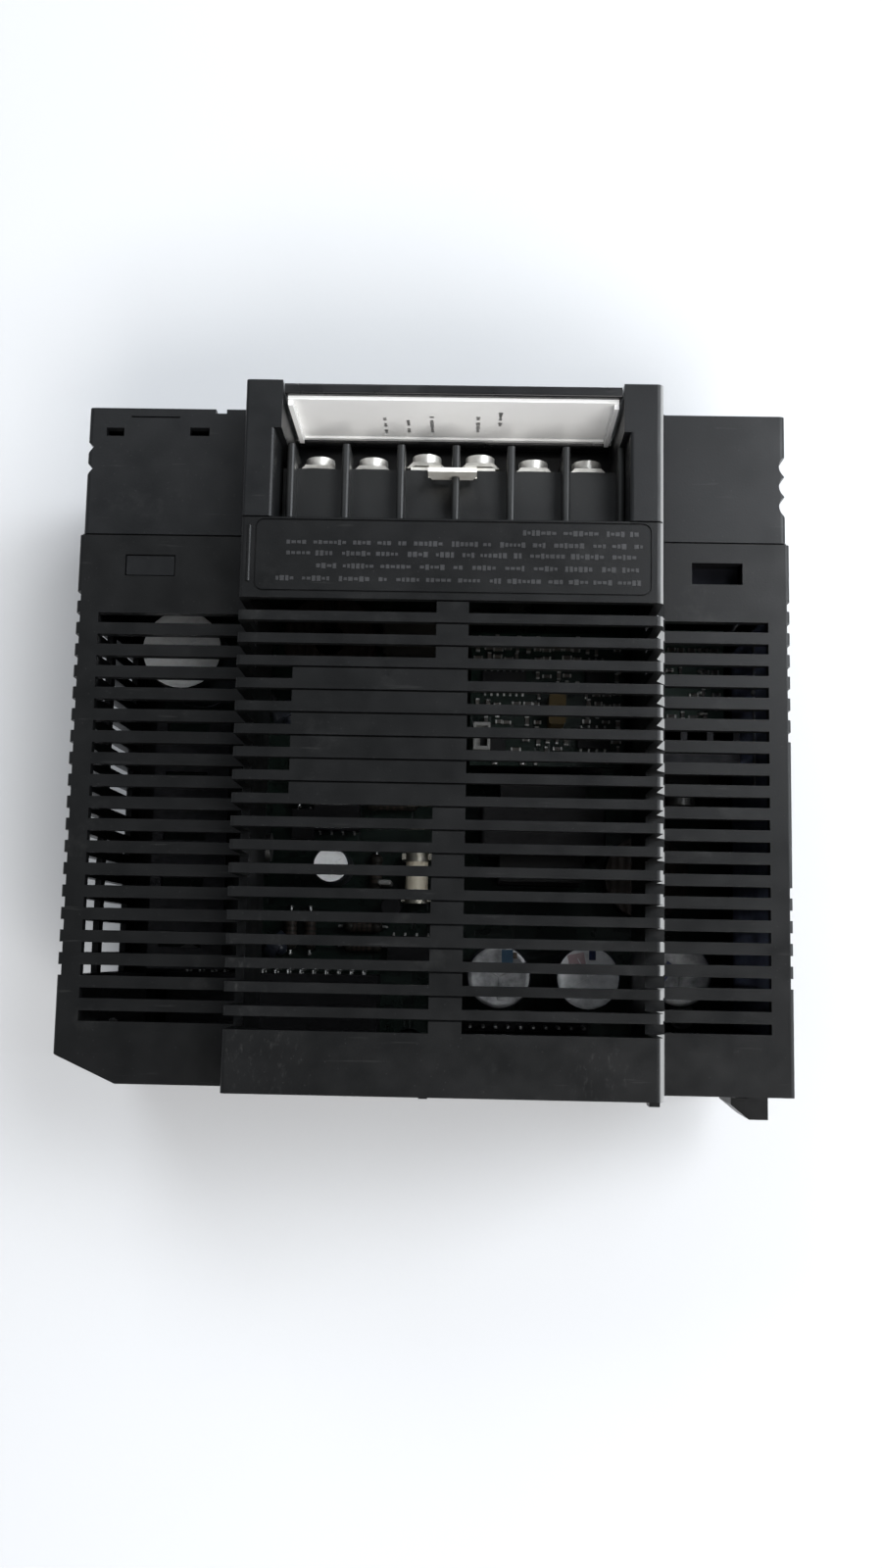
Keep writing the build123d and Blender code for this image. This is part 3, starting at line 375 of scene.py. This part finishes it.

# Some nodes look unlike the others of their slot: the front bezel is a paler copy of the cover's
# plastic, as painted light where more light falls on its posts, and the screws inside have gone dull
lit_bezel_plastic = moulded("lit_bezel_plastic", (0.0050, 0.0054, 0.0058), (0.0074, 0.0078, 0.0084), 0.34,
                        worn=0.03, edge_highlight=0.22, Specular_IOR_Level=0.22)
dull_steel = metal("dull_steel", (0.16, 0.16, 0.155), (0.08, 0.08, 0.078), 0.48)
own_finish = {"front_bezel": lit_bezel_plastic, "heatsink_screws": dull_steel,
              "board_screws": dull_steel, "case_screws": dull_steel}
for part in frame["record"]["subparts"]:
    for material_slot in nodes[part["node"]].material_slots:
        material_slot.material = own_finish.get(part["node"], finishes[part["material_slot"]])


# ---------------------------------------------------------------- mesh helpers


class Piece:
    """One mesh made of small solids, all in metres in the module's own frame."""

    def __init__(self):
        self.mesh = bmesh.new()

    def block(self, low, high, bevel=0.0, turn=0.0):
        """A block between two corners, turned about Z, with bevelled edges."""
        low, high = Vector(low), Vector(high)
        size = high - low
        place = Matrix.Translation((low + high) / 2) @ Matrix.Rotation(turn, 4, "Z")
        place = place @ Matrix.Diagonal((*size, 1.0))
        made = bmesh.ops.create_cube(self.mesh, size=1.0, matrix=place)
        if bevel:
            edges = {edge for vert in made["verts"] for edge in vert.link_edges}
            bmesh.ops.bevel(self.mesh, geom=list(edges), offset=bevel, segments=1, affect="EDGES")

    def rod(self, start, end, radius, sides=12):
        """A round rod between two points."""
        start, end = Vector(start), Vector(end)
        along = end - start
        place = Matrix.Translation((start + end) / 2)
        place = place @ along.to_track_quat("Z", "Y").to_matrix().to_4x4()
        bmesh.ops.create_cone(self.mesh, cap_ends=True, segments=sides, radius1=radius,
                              radius2=radius, depth=along.length, matrix=place)

    def ball(self, centre, radii, sides=12):
        """A ball, or a dome where half of it is sunk in its neighbour."""
        place = Matrix.Translation(centre) @ Matrix.Diagonal((*radii, 1.0))
        bmesh.ops.create_uvsphere(self.mesh, u_segments=sides, v_segments=max(4, sides // 2),
                                  radius=1.0, matrix=place)

    def turned(self, centre, profile, sides=32):
        """A solid of revolution about a vertical axis. The profile lists (radius, height)."""
        rings = []
        for radius, height in profile:
            ring = []
            for i in range(sides):
                angle = 2 * math.pi * i / sides
                spot = Vector((radius * math.cos(angle), radius * math.sin(angle), height))
                ring.append(self.mesh.verts.new(Vector(centre) + spot))
            rings.append(ring)
        for lower, upper in zip(rings, rings[1:]):
            for i in range(sides):
                j = (i + 1) % sides
                self.mesh.faces.new((lower[i], lower[j], upper[j], upper[i]))
        self.mesh.faces.new(list(reversed(rings[0])))
        self.mesh.faces.new(rings[-1])

    def done(self, name, body, slot, material=None):
        """Turns the mesh into an object that rides on a body, in its slot's finish or another."""
        data = bpy.data.meshes.new(name)
        bmesh.ops.recalc_face_normals(self.mesh, faces=self.mesh.faces)
        self.mesh.to_mesh(data)
        self.mesh.free()
        data.shade_smooth()
        data.set_sharp_from_angle(angle=math.radians(35))
        data.materials.append(material or finishes[slot])
        made = bpy.data.objects.new(name, data)
        bpy.context.scene.collection.objects.link(made)
        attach(made, body)


# ---------------------------------------------------------------- markings


ink = coated("label_ink", (0.66, 0.67, 0.69), (0.80, 0.81, 0.82), 0.5)
# The raised marks are the case's own plastic, painted paler: a painted sheen on their raised faces
sheen_painted_mark = moulded("raised_marking", (0.0085, 0.0085, 0.0090), (0.020, 0.020, 0.0215), 0.42,
                      grain=4000.0)


def greeked(piece, start, direction, across, length, height, half_thickness):
    """A line of unreadable marks: dashes of uneven width, with gaps like those between words."""
    along = 0.0
    direction, across = Vector(direction), Vector(across)
    while along < length:
        for _ in range(random.randint(2, 7)):
            width = random.uniform(0.45, 0.8) * MM
            tall = height * random.choice((0.55, 0.75, 1.0))
            if along + width > length:
                break
            middle = Vector(start) + direction * (along + width / 2)
            half = direction * width / 2 + across * tall / 2
            half = Vector(map(abs, half)) + Vector(half_thickness)
            piece.block(middle - half, middle + half)
            along += width + 0.22 * MM
        along += random.uniform(0.7, 1.5) * MM


# Embossed lines on the marking panel: distance in front of the case's rear face, first X and
# length, in millimetres
panel_lines = ((97.0, 16.0, 21.5), (94.8, -25.3, 62.5), (92.85, -25.3, 62.0), (90.6, -20.0, 57.0),
               (88.3, -27.0, 64.0))
letter_height = 0.95 * MM
emboss = 0.07 * MM
marks = Piece()
for distance, x, length in panel_lines:
    greeked(marks, (x * MM, fwd(distance), band_top), (1, 0, 0), (0, 1, 0), length * MM,
            letter_height, (0, 0, emboss))
marks.done("panel_marking", "housing", "case_plastic", sheen_painted_mark)

# Printed columns and a border line on the insert of the door's label tray
tray_low, tray_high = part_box("door_label_tray")
insert_face = tray_high.y - 0.48 * MM
print_low, print_high = tray_low.z + 1.6 * MM, tray_high.z - 1.6 * MM
border = 0.2 * MM
ink_depth = 0.02 * MM
print_marks = Piece()
for column in (-9.4, -5.1, -0.7, 7.9, 12.0):
    greeked(print_marks, (column * MM, insert_face, print_low + random.uniform(1, 6) * MM),
            (0, 0, 1), (1, 0, 0), random.uniform(6, 9) * MM, 0.8 * MM, (0, ink_depth, 0))
for x in (tray_low.x + 2.2 * MM, tray_high.x - 2.4 * MM):
    print_marks.block((x, insert_face - ink_depth, print_low),
                      (x + border, insert_face + ink_depth, print_high))
for z in (print_low, print_high - border):
    print_marks.block((tray_low.x + 2.2 * MM, insert_face - ink_depth, z),
                      (tray_high.x - 2.2 * MM, insert_face + ink_depth, z + border))
print_marks.done("label_printing", "door", "label_plastic", ink)


# ---------------------------------------------------------------- capacitor tops

even = (1.0, 1.0, 1.0)
# One bare aluminium for the cans' ends, in lit, half-lit and shaded copies: painted light and shade
lit_can_end = metal("lit_can_end", (1.0, 1.0, 1.0), (0.80, 0.80, 0.80), 0.5, grain=even, metallic=0.0)
half_lit_can_end = metal("half_lit_can_end", (0.92, 0.92, 0.92), (0.55, 0.55, 0.55), 0.5, grain=even, metallic=0.3)
shaded_can_end = metal("shaded_can_end", (0.36, 0.36, 0.36), (0.13, 0.13, 0.135), 0.48, grain=even,
                 depth=0.02 * MM)
blue_mark = coated("blue_ink", (0.010, 0.045, 0.085), (0.018, 0.07, 0.12), 0.4)
dark_blue_mark = coated("dark_blue_ink", (0.006, 0.012, 0.06), (0.010, 0.02, 0.085), 0.4)
pink_mark = coated("pink_ink", (0.52, 0.34, 0.36), (0.60, 0.46, 0.47), 0.45)
brown_mark = coated("brown_ink", (0.06, 0.038, 0.020), (0.09, 0.06, 0.035), 0.45)


def can_top(node, share, vents, finish, inks=()):
    """The bare aluminium end of a can, crowned, with its vent scores shown as thin ribs.

    `share` is the end's radius as a share of the can's. `inks` lists the marks painted on it, as
    (finish, x, y, half width, half depth, turn), in millimetres from the middle and radians.
    """
    low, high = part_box(node)
    centre = Vector(((low.x + high.x) / 2, (low.y + high.y) / 2, high.z))
    radius = (high.x - low.x) / 2 * share
    disc = Piece()
    disc.turned(centre, ((radius, -0.3 * MM), (radius, 0.05 * MM), (radius * 0.97, 0.16 * MM),
                         (radius * 0.86, 0.14 * MM), (radius * 0.8, 0.08 * MM),
                         (radius * 0.4, 0.12 * MM), (radius * 0.05, 0.13 * MM)))
    crown = centre + Vector((0, 0, 0.12 * MM))
    for i in range(vents):
        angle = 2 * math.pi * i / vents + 0.5
        tip = Vector((math.cos(angle), math.sin(angle), 0.0)) * radius * 0.72
        disc.rod(crown, crown + tip, 0.14 * MM, sides=8)
    disc.done(f"{node}_top", "housing", "pin_steel", finish)
    for number, (paint, x, y, wide, deep, turn) in enumerate(inks):
        spot = centre + Vector((x, y, 0.14)) * MM
        half = Vector((wide, deep, 0.07)) * MM
        dab = Piece()
        dab.block(spot - half, spot + half, 0.05 * MM, turn)
        dab.done(f"{node}_mark_{number + 1}", "housing", "film_dip", paint)


can_top("bulk_capacitor", 0.985, 3, lit_can_end)
can_top("output_capacitor_1", 0.96, 3, shaded_can_end, ((blue_mark, 1.6, 3.2, 1.1, 2.1, 0.0),
                                                  (brown_mark, 3.1, 4.2, 0.4, 0.6, 0.0)))
can_top("output_capacitor_2", 0.96, 4, half_lit_can_end, ((pink_mark, -2.2, 3.2, 1.6, 1.5, 0.2),
                                                  (dark_blue_mark, 0.8, 4.4, 0.65, 0.9, 0.0)))
can_top("output_capacitor_3", 0.96, 3, shaded_can_end, ((dark_blue_mark, -3.4, -0.4, 0.9, 3.2, -0.6),))
can_top("small_capacitor", 0.92, 2, lit_can_end)


# ---------------------------------------------------------------- small parts on the boards

solder = metal("solder", (0.46, 0.46, 0.45), (0.28, 0.28, 0.27), 0.38, grain=even)
tinned = metal("tinned", (0.38, 0.38, 0.37), (0.18, 0.18, 0.175), 0.44, grain=even)
resistor_body = coated("resistor_body", (0.013, 0.012, 0.010), (0.020, 0.018, 0.015), 0.45, **dusty)
band_paint = coated("band_paint", (0.03, 0.022, 0.018), (0.045, 0.036, 0.03), 0.45, **dusty)
chip_ceramic = coated("chip_ceramic", (0.020, 0.018, 0.015), (0.055, 0.048, 0.04), 0.45)
disc_dip = coated("disc_dip", (0.010, 0.012, 0.018), (0.016, 0.019, 0.026), 0.4, coat=0.1)
pale_plastic = moulded("pale_plastic", (0.14, 0.14, 0.135), (0.20, 0.20, 0.19), 0.4)
# Pale bluish, for the insulating sheet: painted light for the glow seen through the vents
lit_sheet_plastic = coated("lit_sheet_plastic", (0.16, 0.18, 0.25), (0.22, 0.24, 0.32), 0.6,
                       Transmission_Weight=0.45)
# Near-black, for the pad under the upper snap window: painted shade
shade_pad_finish = coated("shade_pad_finish", (0.0075, 0.0078, 0.0100), (0.0100, 0.0105, 0.0130), 0.8, grain=3000.0,
              Specular_IOR_Level=0.05)
daughter_mask = coated("daughter_mask", (0.036, 0.056, 0.046), (0.052, 0.074, 0.062), 0.45, **dusty)

board_low, board_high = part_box("control_board")
board_top = board_high.z
main_low, main_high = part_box("main_board")
main_top = main_high.z
lead_ends = main_low.z - 0.6 * MM
pin_pitch = 2.54
chips, chip_leads, ceramics, ceramic_ends = Piece(), Piece(), Piece(), Piece()
resistors, rings, leads, discs = Piece(), Piece(), Piece(), Piece()


def flat_chip(x, y, z, wide, deep, tall, side_pins):
    """A moulded chip with a row of bent leads along each long side."""
    place = Vector((x, y, z))
    lead_half, foot_reach, foot_thick, leg_thick = 0.2 * MM, 0.7 * MM, 0.15 * MM, 0.2 * MM
    chips.block(place + Vector((-wide / 2, -deep / 2, 0.1 * MM)),
                place + Vector((wide / 2, deep / 2, tall)), 0.12 * MM)
    for i in range(side_pins):
        along = (i - (side_pins - 1) / 2) * wide / side_pins
        for side in (-1, 1):
            inner = side * deep / 2
            for reach, height in ((foot_reach, foot_thick), (leg_thick, tall * 0.6)):
                low_y, high_y = sorted((inner, inner + side * reach))
                chip_leads.block(place + Vector((along - lead_half, low_y, 0)),
                                 place + Vector((along + lead_half, high_y, height)))


def small_chip(x, y, z, length, width, tall, upright):
    """A ceramic chip part with a soldered metal cap at each end."""
    half_x, half_y = (width / 2, length / 2) if upright else (length / 2, width / 2)
    cap_half, grow = 0.2 * MM, 0.03 * MM
    ceramics.block((x - half_x, y - half_y, z), (x + half_x, y + half_y, z + tall), 0.06 * MM)
    reach_x = half_x + grow if upright else cap_half
    reach_y = cap_half if upright else half_y + grow
    for side in (-1, 1):
        cap_x = x + (0 if upright else side * half_x)
        cap_y = y + (side * half_y if upright else 0)
        ceramic_ends.block((cap_x - reach_x, cap_y - reach_y, z),
                           (cap_x + reach_x, cap_y + reach_y, z + tall + grow), 0.08 * MM)


def clear_of(x, y, areas, margin):
    """True if a spot lies outside each (low x, low y, high x, high y) area, by a margin."""
    return all(x < low_x - margin or x > high_x + margin or y < low_y - margin or y > high_y + margin
               for low_x, low_y, high_x, high_y in areas)


# Chips on the control board: (x, y, width, depth) in millimetres, and the pins on each side. Small
# chip parts fill the rest of the board, apart from the film capacitor's place
film_low, film_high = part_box("film_capacitor")
keep_out = [(film_low.x, film_low.y, film_high.x, film_high.y)]
for x, y, wide, deep, side_pins in ((12.0, 65.0, 5.0, 4.0, 4), (31.5, 66.0, 6.2, 4.0, 4),
                                    (14.0, 77.0, 8.6, 4.0, 7), (32.0, 79.0, 4.0, 5.0, 3)):
    flat_chip(x * MM, fwd(y), board_top, wide * MM, deep * MM, 1.5 * MM, side_pins)
    keep_out.append(((x - wide / 2) * MM, fwd(y - deep / 2), (x + wide / 2) * MM,
                     fwd(y + deep / 2)))
for row in range(14):
    for column in range(15):
        x = board_low.x + (1.4 + 1.95 * column + random.uniform(-0.3, 0.3)) * MM
        y = board_low.y + (1.4 + 1.82 * row + random.uniform(-0.25, 0.25)) * MM
        if random.random() < 0.82 and clear_of(x, y, keep_out, 1.3 * MM):
            small_chip(x, y, board_top, random.uniform(1.05, 1.7) * MM,
                       random.uniform(0.55, 0.85) * MM, random.uniform(0.35, 0.7) * MM,
                       random.random() < 0.4)


def axial(x, y, length, radius, along_x):
    """A resistor on the main board, with its body along X or Y and a bent wire at each end."""
    half = Vector((length / 2, 0, 0)) if along_x else Vector((0, length / 2, 0))
    centre = Vector((x, y, main_top + radius + 0.6 * MM))
    wire = 0.3 * MM
    resistors.rod(centre - half, centre + half, radius, sides=14)
    for side in (-1, 1):
        resistors.ball(centre + half * side * 0.86, (radius * 1.16,) * 3)
        tip = centre + half * side + half.normalized() * side * 1.6 * MM
        leads.rod(centre + half * side, tip, wire, sides=8)
        leads.rod(tip, (tip.x, tip.y, lead_ends), wire, sides=8)
    for share in (-0.5, -0.2, 0.1, 0.45):
        middle = centre + half * share
        step = half.normalized() * 0.28 * MM
        rings.rod(middle - step, middle + step, radius + 0.05 * MM, sides=14)


# Resistors: (x, y, length, radius) in millimetres, and whether they lie along X
axial_places = ((-14.0, 25.0, 6.5, 1.2, True), (-14.0, 29.0, 6.5, 1.2, True),
                (-29.0, 28.0, 6.5, 1.2, False), (-25.0, 28.0, 6.5, 1.2, False),
                (-11.5, 40.0, 6.5, 1.2, False), (-8.5, 55.0, 9.0, 1.7, True),
                (3.0, 55.0, 6.5, 1.2, False), (-28.0, 60.0, 9.0, 1.7, False),
                (-20.0, 66.0, 6.5, 1.2, True), (-4.0, 68.0, 6.5, 1.2, False),
                (48.0, 80.0, 9.0, 1.7, True), (47.0, 86.0, 6.5, 1.2, True))
for x, y, length, radius, along_x in axial_places:
    axial(x * MM, fwd(y), length * MM, radius * MM, along_x)

# Upright disc capacitors: (x, y, radius) in millimetres, and the turn
for x, y, radius, turn in ((-30.0, 73.0, 4.0, 0.3), (-13.0, 75.0, 3.2, -0.2), (2.0, 73.0, 3.2, 1.4),
                           (52.0, 75.0, 3.6, 0.2), (-31.5, 24.8, 3.0, 0.9)):
    across = Vector((math.cos(turn), math.sin(turn), 0))
    thick = Vector((-across.y, across.x, 0)) * 1.2 * MM
    middle = Vector((x * MM, fwd(y), main_top + (radius + 1.6) * MM))
    discs.rod(middle - thick, middle + thick, radius * MM, sides=24)
    for side in (-1, 1):
        discs.ball(middle + thick * side * 0.7,
                   (radius * 0.55 * MM, radius * 0.55 * MM, radius * 0.75 * MM))
        foot = middle + across * side * 2.2 * MM
        leads.rod(foot, (foot.x, foot.y, lead_ends), 0.3 * MM, sides=8)

# Through-hole chips and an optocoupler on the main board
for x, y, wide, side_pins in ((-20.0, 52.0, 9.6, 4), (-4.0, 24.0, 9.6, 4), (-27.0, 50.0, 4.8, 2)):
    flat_chip(x * MM, fwd(y), main_top, wide * MM, 6.4 * MM, 3.4 * MM, side_pins)

# Solder tails of the backplane connector, bent down to the board in front of its hood
hood_low, hood_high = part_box("backplane_connector")
tail = 0.25 * MM
for number in range(15):
    x = (hood_low.x + hood_high.x) / 2 + (number - 7) * pin_pitch * MM
    for reach, level in ((0.6 * MM, 15.6 * MM), (1.7 * MM, 11.0 * MM)):
        bend = Vector((x, hood_high.y + reach, level))
        leads.rod((x, hood_high.y - 0.2 * MM, level), bend, tail, sides=8)
        leads.ball(bend, (tail,) * 3, sides=8)
        leads.rod(bend, (bend.x, bend.y, lead_ends), tail, sides=8)

# A pin header behind the output capacitors
header_low = Vector((7.0 * MM, fwd(8.0), main_top))
header_size = Vector((26.0, 2.6, 2.6)) * MM
pin_size = Vector((0.64, 0.64, 6.0)) * MM
chips.block(header_low, header_low + header_size, 0.2 * MM)
for number in range(10):
    foot = header_low + Vector((1.28 + pin_pitch * number, 1.0, 2.4)) * MM
    leads.block(foot, foot + pin_size, 0.1 * MM)

pale, beads = Piece(), Piece()


def hollow_plug(low, high):
    """A plug between two corners: its side walls, end walls and low floor run into one another."""
    side, end, lap, floor, bevel = 0.6 * MM, 0.7 * MM, 0.1 * MM, 1.2 * MM, 0.1 * MM
    first, last = low.x + side - lap, high.x - side + lap
    pale.block(low, (low.x + side, high.y, high.z), bevel)
    pale.block((high.x - side, low.y, low.z), high, bevel)
    pale.block((first, low.y, low.z), (last, low.y + end, high.z), bevel)
    pale.block((first, high.y - end, low.z), (last, high.y, high.z), bevel)
    pale.block((first, low.y + end - lap, low.z), (last, high.y - end + lap, low.z + floor), bevel)


# Pale parts: a hollow plug on the control board, and an upright jumper beside the fuse
hollow_plug(Vector((8.1 * MM, fwd(63.2), board_top)),
            Vector((11.4 * MM, fwd(68.6), board_top + 3.0 * MM)))
jumper_low = Vector((-10.6 * MM, fwd(37.4), main_top))
pale.block(jumper_low, jumper_low + Vector((2.6, 1.0, 10.0)) * MM, 0.2 * MM)
pale.done("pale_parts", "housing", "label_plastic", pale_plastic)
for x in (12.4, 17.8):
    beads.ball((x * MM, fwd(60.9), board_top), (0.8 * MM, 0.4 * MM, 0.6 * MM))

# A small board over the main board's upper edge, on four spacers
daughter = Piece()
daughter_low = Vector((43.0 * MM, fwd(69.5), 26.0 * MM))
daughter_high = Vector((57.4 * MM, fwd(88.5), 27.2 * MM))
spacer_inset = 1.5 * MM
daughter.block(daughter_low, daughter_high, 0.1 * MM)
for x in (daughter_low.x + spacer_inset, daughter_high.x - spacer_inset):
    for y in (daughter_low.y + spacer_inset, daughter_high.y - spacer_inset):
        daughter.rod((x, y, main_top), (x, y, daughter_low.z), 1.2 * MM, sides=16)
daughter.done("daughter_board", "housing", "circuit_board", daughter_mask)
for row in range(8):
    for column in range(6):
        x = daughter_low.x + (1.6 + 2.2 * column + random.uniform(-0.3, 0.3)) * MM
        y = daughter_low.y + (1.6 + 2.2 * row + random.uniform(-0.3, 0.3)) * MM
        if random.random() < 0.7:
            small_chip(x, y, daughter_high.z, random.uniform(1.1, 1.7) * MM,
                       random.uniform(0.6, 0.85) * MM, 0.5 * MM, random.random() < 0.4)
for y in (84.5, 80.2, 75.8, 71.6):
    beads.ball((53.0 * MM, fwd(y), daughter_high.z), (0.9 * MM, 0.5 * MM, 0.5 * MM))

# An insulating sheet inside the top end's wall, with a clip strip along it. The sheet's pale bluish
# colour is painted light, for the glow seen through the top end's vents
wall_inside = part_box("right_cover")[1].x - 2.0 * MM
sheet = Piece()
sheet.block((wall_inside - 0.5 * MM, fwd(10.0), 8.0 * MM),
            (wall_inside - 0.15 * MM, fwd(88.0), 46.0 * MM))
sheet.done("insulating_sheet", "housing", "bobbin_plastic", lit_sheet_plastic)
strip = Piece()
strip.block((wall_inside - 0.9 * MM, fwd(56.0), 30.6 * MM),
            (wall_inside - 0.45 * MM, fwd(86.0), 31.3 * MM), 0.1 * MM)
strip.done("sheet_strip", "housing", "plated_steel", tinned)
beads.ball((wall_inside - 0.9 * MM, fwd(75.2), 31.2 * MM), (0.5 * MM, 0.6 * MM, 0.5 * MM))
beads.done("solder_beads", "housing", "plated_steel", solder)

# Small round transistors, standing on three legs
can_profile = ((2.2 * MM, 0), (2.2 * MM, 4.4 * MM), (2.0 * MM, 4.6 * MM))
for x, y in ((-8.0, 33.0), (4.0, 30.0), (-22.0, 60.0), (5.0, 47.0), (5.0, 64.0), (-35.0, 75.0)):
    chips.turned((x * MM, fwd(y), main_top + 2.5 * MM), can_profile, sides=16)
    for step in (-1, 0, 1):
        spot = Vector(((x + step * pin_pitch / 2) * MM, fwd(y), main_top + 2.6 * MM))
        leads.rod(spot, (spot.x, spot.y, lead_ends), 0.25 * MM, sides=6)

chips.done("small_chips", "housing", "component_epoxy")
chip_leads.done("chip_leads", "housing", "plated_steel", tinned)
ceramics.done("ceramic_chips", "housing", "box_capacitor", chip_ceramic)
ceramic_ends.done("ceramic_chip_ends", "housing", "plated_steel", tinned)
resistors.done("axial_resistors", "housing", "film_dip", resistor_body)
rings.done("resistor_bands", "housing", "film_dip", band_paint)
leads.done("component_leads", "housing", "plated_steel", tinned)
discs.done("disc_capacitors", "housing", "film_dip", disc_dip)

# A near-black pad on the tongue under the upper snap window: painted shade for the window's dark recess
shade_pad = Piece()
shade_pad.block((47.6 * MM, fwd(91.4), 45.35 * MM), (56.5 * MM, fwd(95.9), 45.7 * MM), 0.1 * MM)
shade_pad.done("window_shade_pad", "housing", "bobbin_plastic", shade_pad_finish)

# Solder joints under the main board
joint_profile = ((1.0 * MM, 0.02 * MM), (0.8 * MM, -0.25 * MM), (0.35 * MM, -0.7 * MM),
                 (0.28 * MM, -1.1 * MM))
joints = Piece()
for row in range(16):
    for column in range(19):
        if random.random() < 0.42:
            x = main_low.x + (4.5 + 5.9 * column + random.uniform(-1.6, 1.6)) * MM
            y = main_low.y + (7.0 + 5.8 * row + random.uniform(-1.6, 1.6)) * MM
            joints.turned((x, y, main_low.z), joint_profile, sides=10)
joints.done("solder_joints", "housing", "plated_steel", solder)


# ---------------------------------------------------------------- table, light and camera


def area_light(name, place, target, size, power, colour):
    """A soft rectangular light that faces a target."""
    data = bpy.data.lights.new(name, "AREA")
    data.shape = "RECTANGLE"
    data.size, data.size_y = size
    data.energy = power
    data.color = colour
    lamp = bpy.data.objects.new(name, data)
    lamp.location = place
    lamp.rotation_euler = (Vector(target) - Vector(place)).to_track_quat("-Z", "Y").to_euler()
    bpy.context.scene.collection.objects.link(lamp)


table_pale, table_grey = (0.53, 0.535, 0.54), (0.50, 0.505, 0.515)
table_finish = Finish("table_top", table_pale, 0.6)
cloud = table_finish.band(table_finish.noise(3.0, 3.0), 0.35, 0.7)
table_finish.colour(table_finish.blend(cloud, table_pale, table_grey))
table_finish.bump((table_finish.noise(900.0, 2.0), 0.01 * MM))

table_mesh = bmesh.new()
bmesh.ops.create_grid(table_mesh, x_segments=8, y_segments=8, size=1.6)
table_data = bpy.data.meshes.new("table")
table_mesh.to_mesh(table_data)
table_mesh.free()
table_data.materials.append(table_finish.material)
table = bpy.data.objects.new("table", table_data)
bpy.context.scene.collection.objects.link(table)

world = bpy.data.worlds.new("room")
bpy.context.scene.world = world
world.use_nodes = True
room = world.node_tree.nodes["Background"]
room.inputs["Color"].default_value = (0.86, 0.90, 0.96, 1.0)
# The ceiling straight above is in shade
direction, height, shade = (world.node_tree.nodes.new(f"ShaderNode{kind}")
                            for kind in ("TexCoord", "SeparateXYZ", "MapRange"))
for key, number in {"From Min": 0.90, "From Max": 0.97, "To Min": 0.42, "To Max": 0.10}.items():
    shade.inputs[key].default_value = number
for output, target in ((direction.outputs["Generated"], height.inputs["Vector"]),
                       (height.outputs["Z"], shade.inputs["Value"]),
                       (shade.outputs["Result"], room.inputs["Strength"])):
    world.node_tree.links.new(output, target)

area_light("window", (1.0, 0.2, 0.6), (0.0, 0.0, 0.03), (0.7, 0.6), 12.0, (0.90, 0.95, 1.0))
area_light("ceiling", (0.57, 0.40, 1.1), (0.0, 0.0, 0.0), (0.5, 0.5), 9.0, (0.93, 0.96, 1.0))
area_light("front", (-0.35, 0.9, 0.85), (0.0, 0.06, 0.05), (0.5, 0.5), 5.5, (0.92, 0.96, 1.0))
area_light("far_wall", (0.4, -0.88, 1.15), (0.0, 0.03, 0.04), (0.9, 0.6), 20.5, (1.0, 0.98, 0.96))

# The photograph's viewpoint, nearly straight above the module
camera_data = bpy.data.cameras.new("camera")
camera_data.lens = 31.5
camera_data.sensor_width = 36.0
camera_data.clip_start = 0.01
camera = bpy.data.objects.new("camera", camera_data)
camera.location = (6.576 * MM, fwd(24.407), 294.649 * MM)
camera.rotation_euler = (math.radians(6.929), math.radians(0.851), math.radians(1.142))
bpy.context.scene.collection.objects.link(camera)
bpy.context.scene.camera = camera
bpy.context.scene.view_settings.view_transform = "Standard"
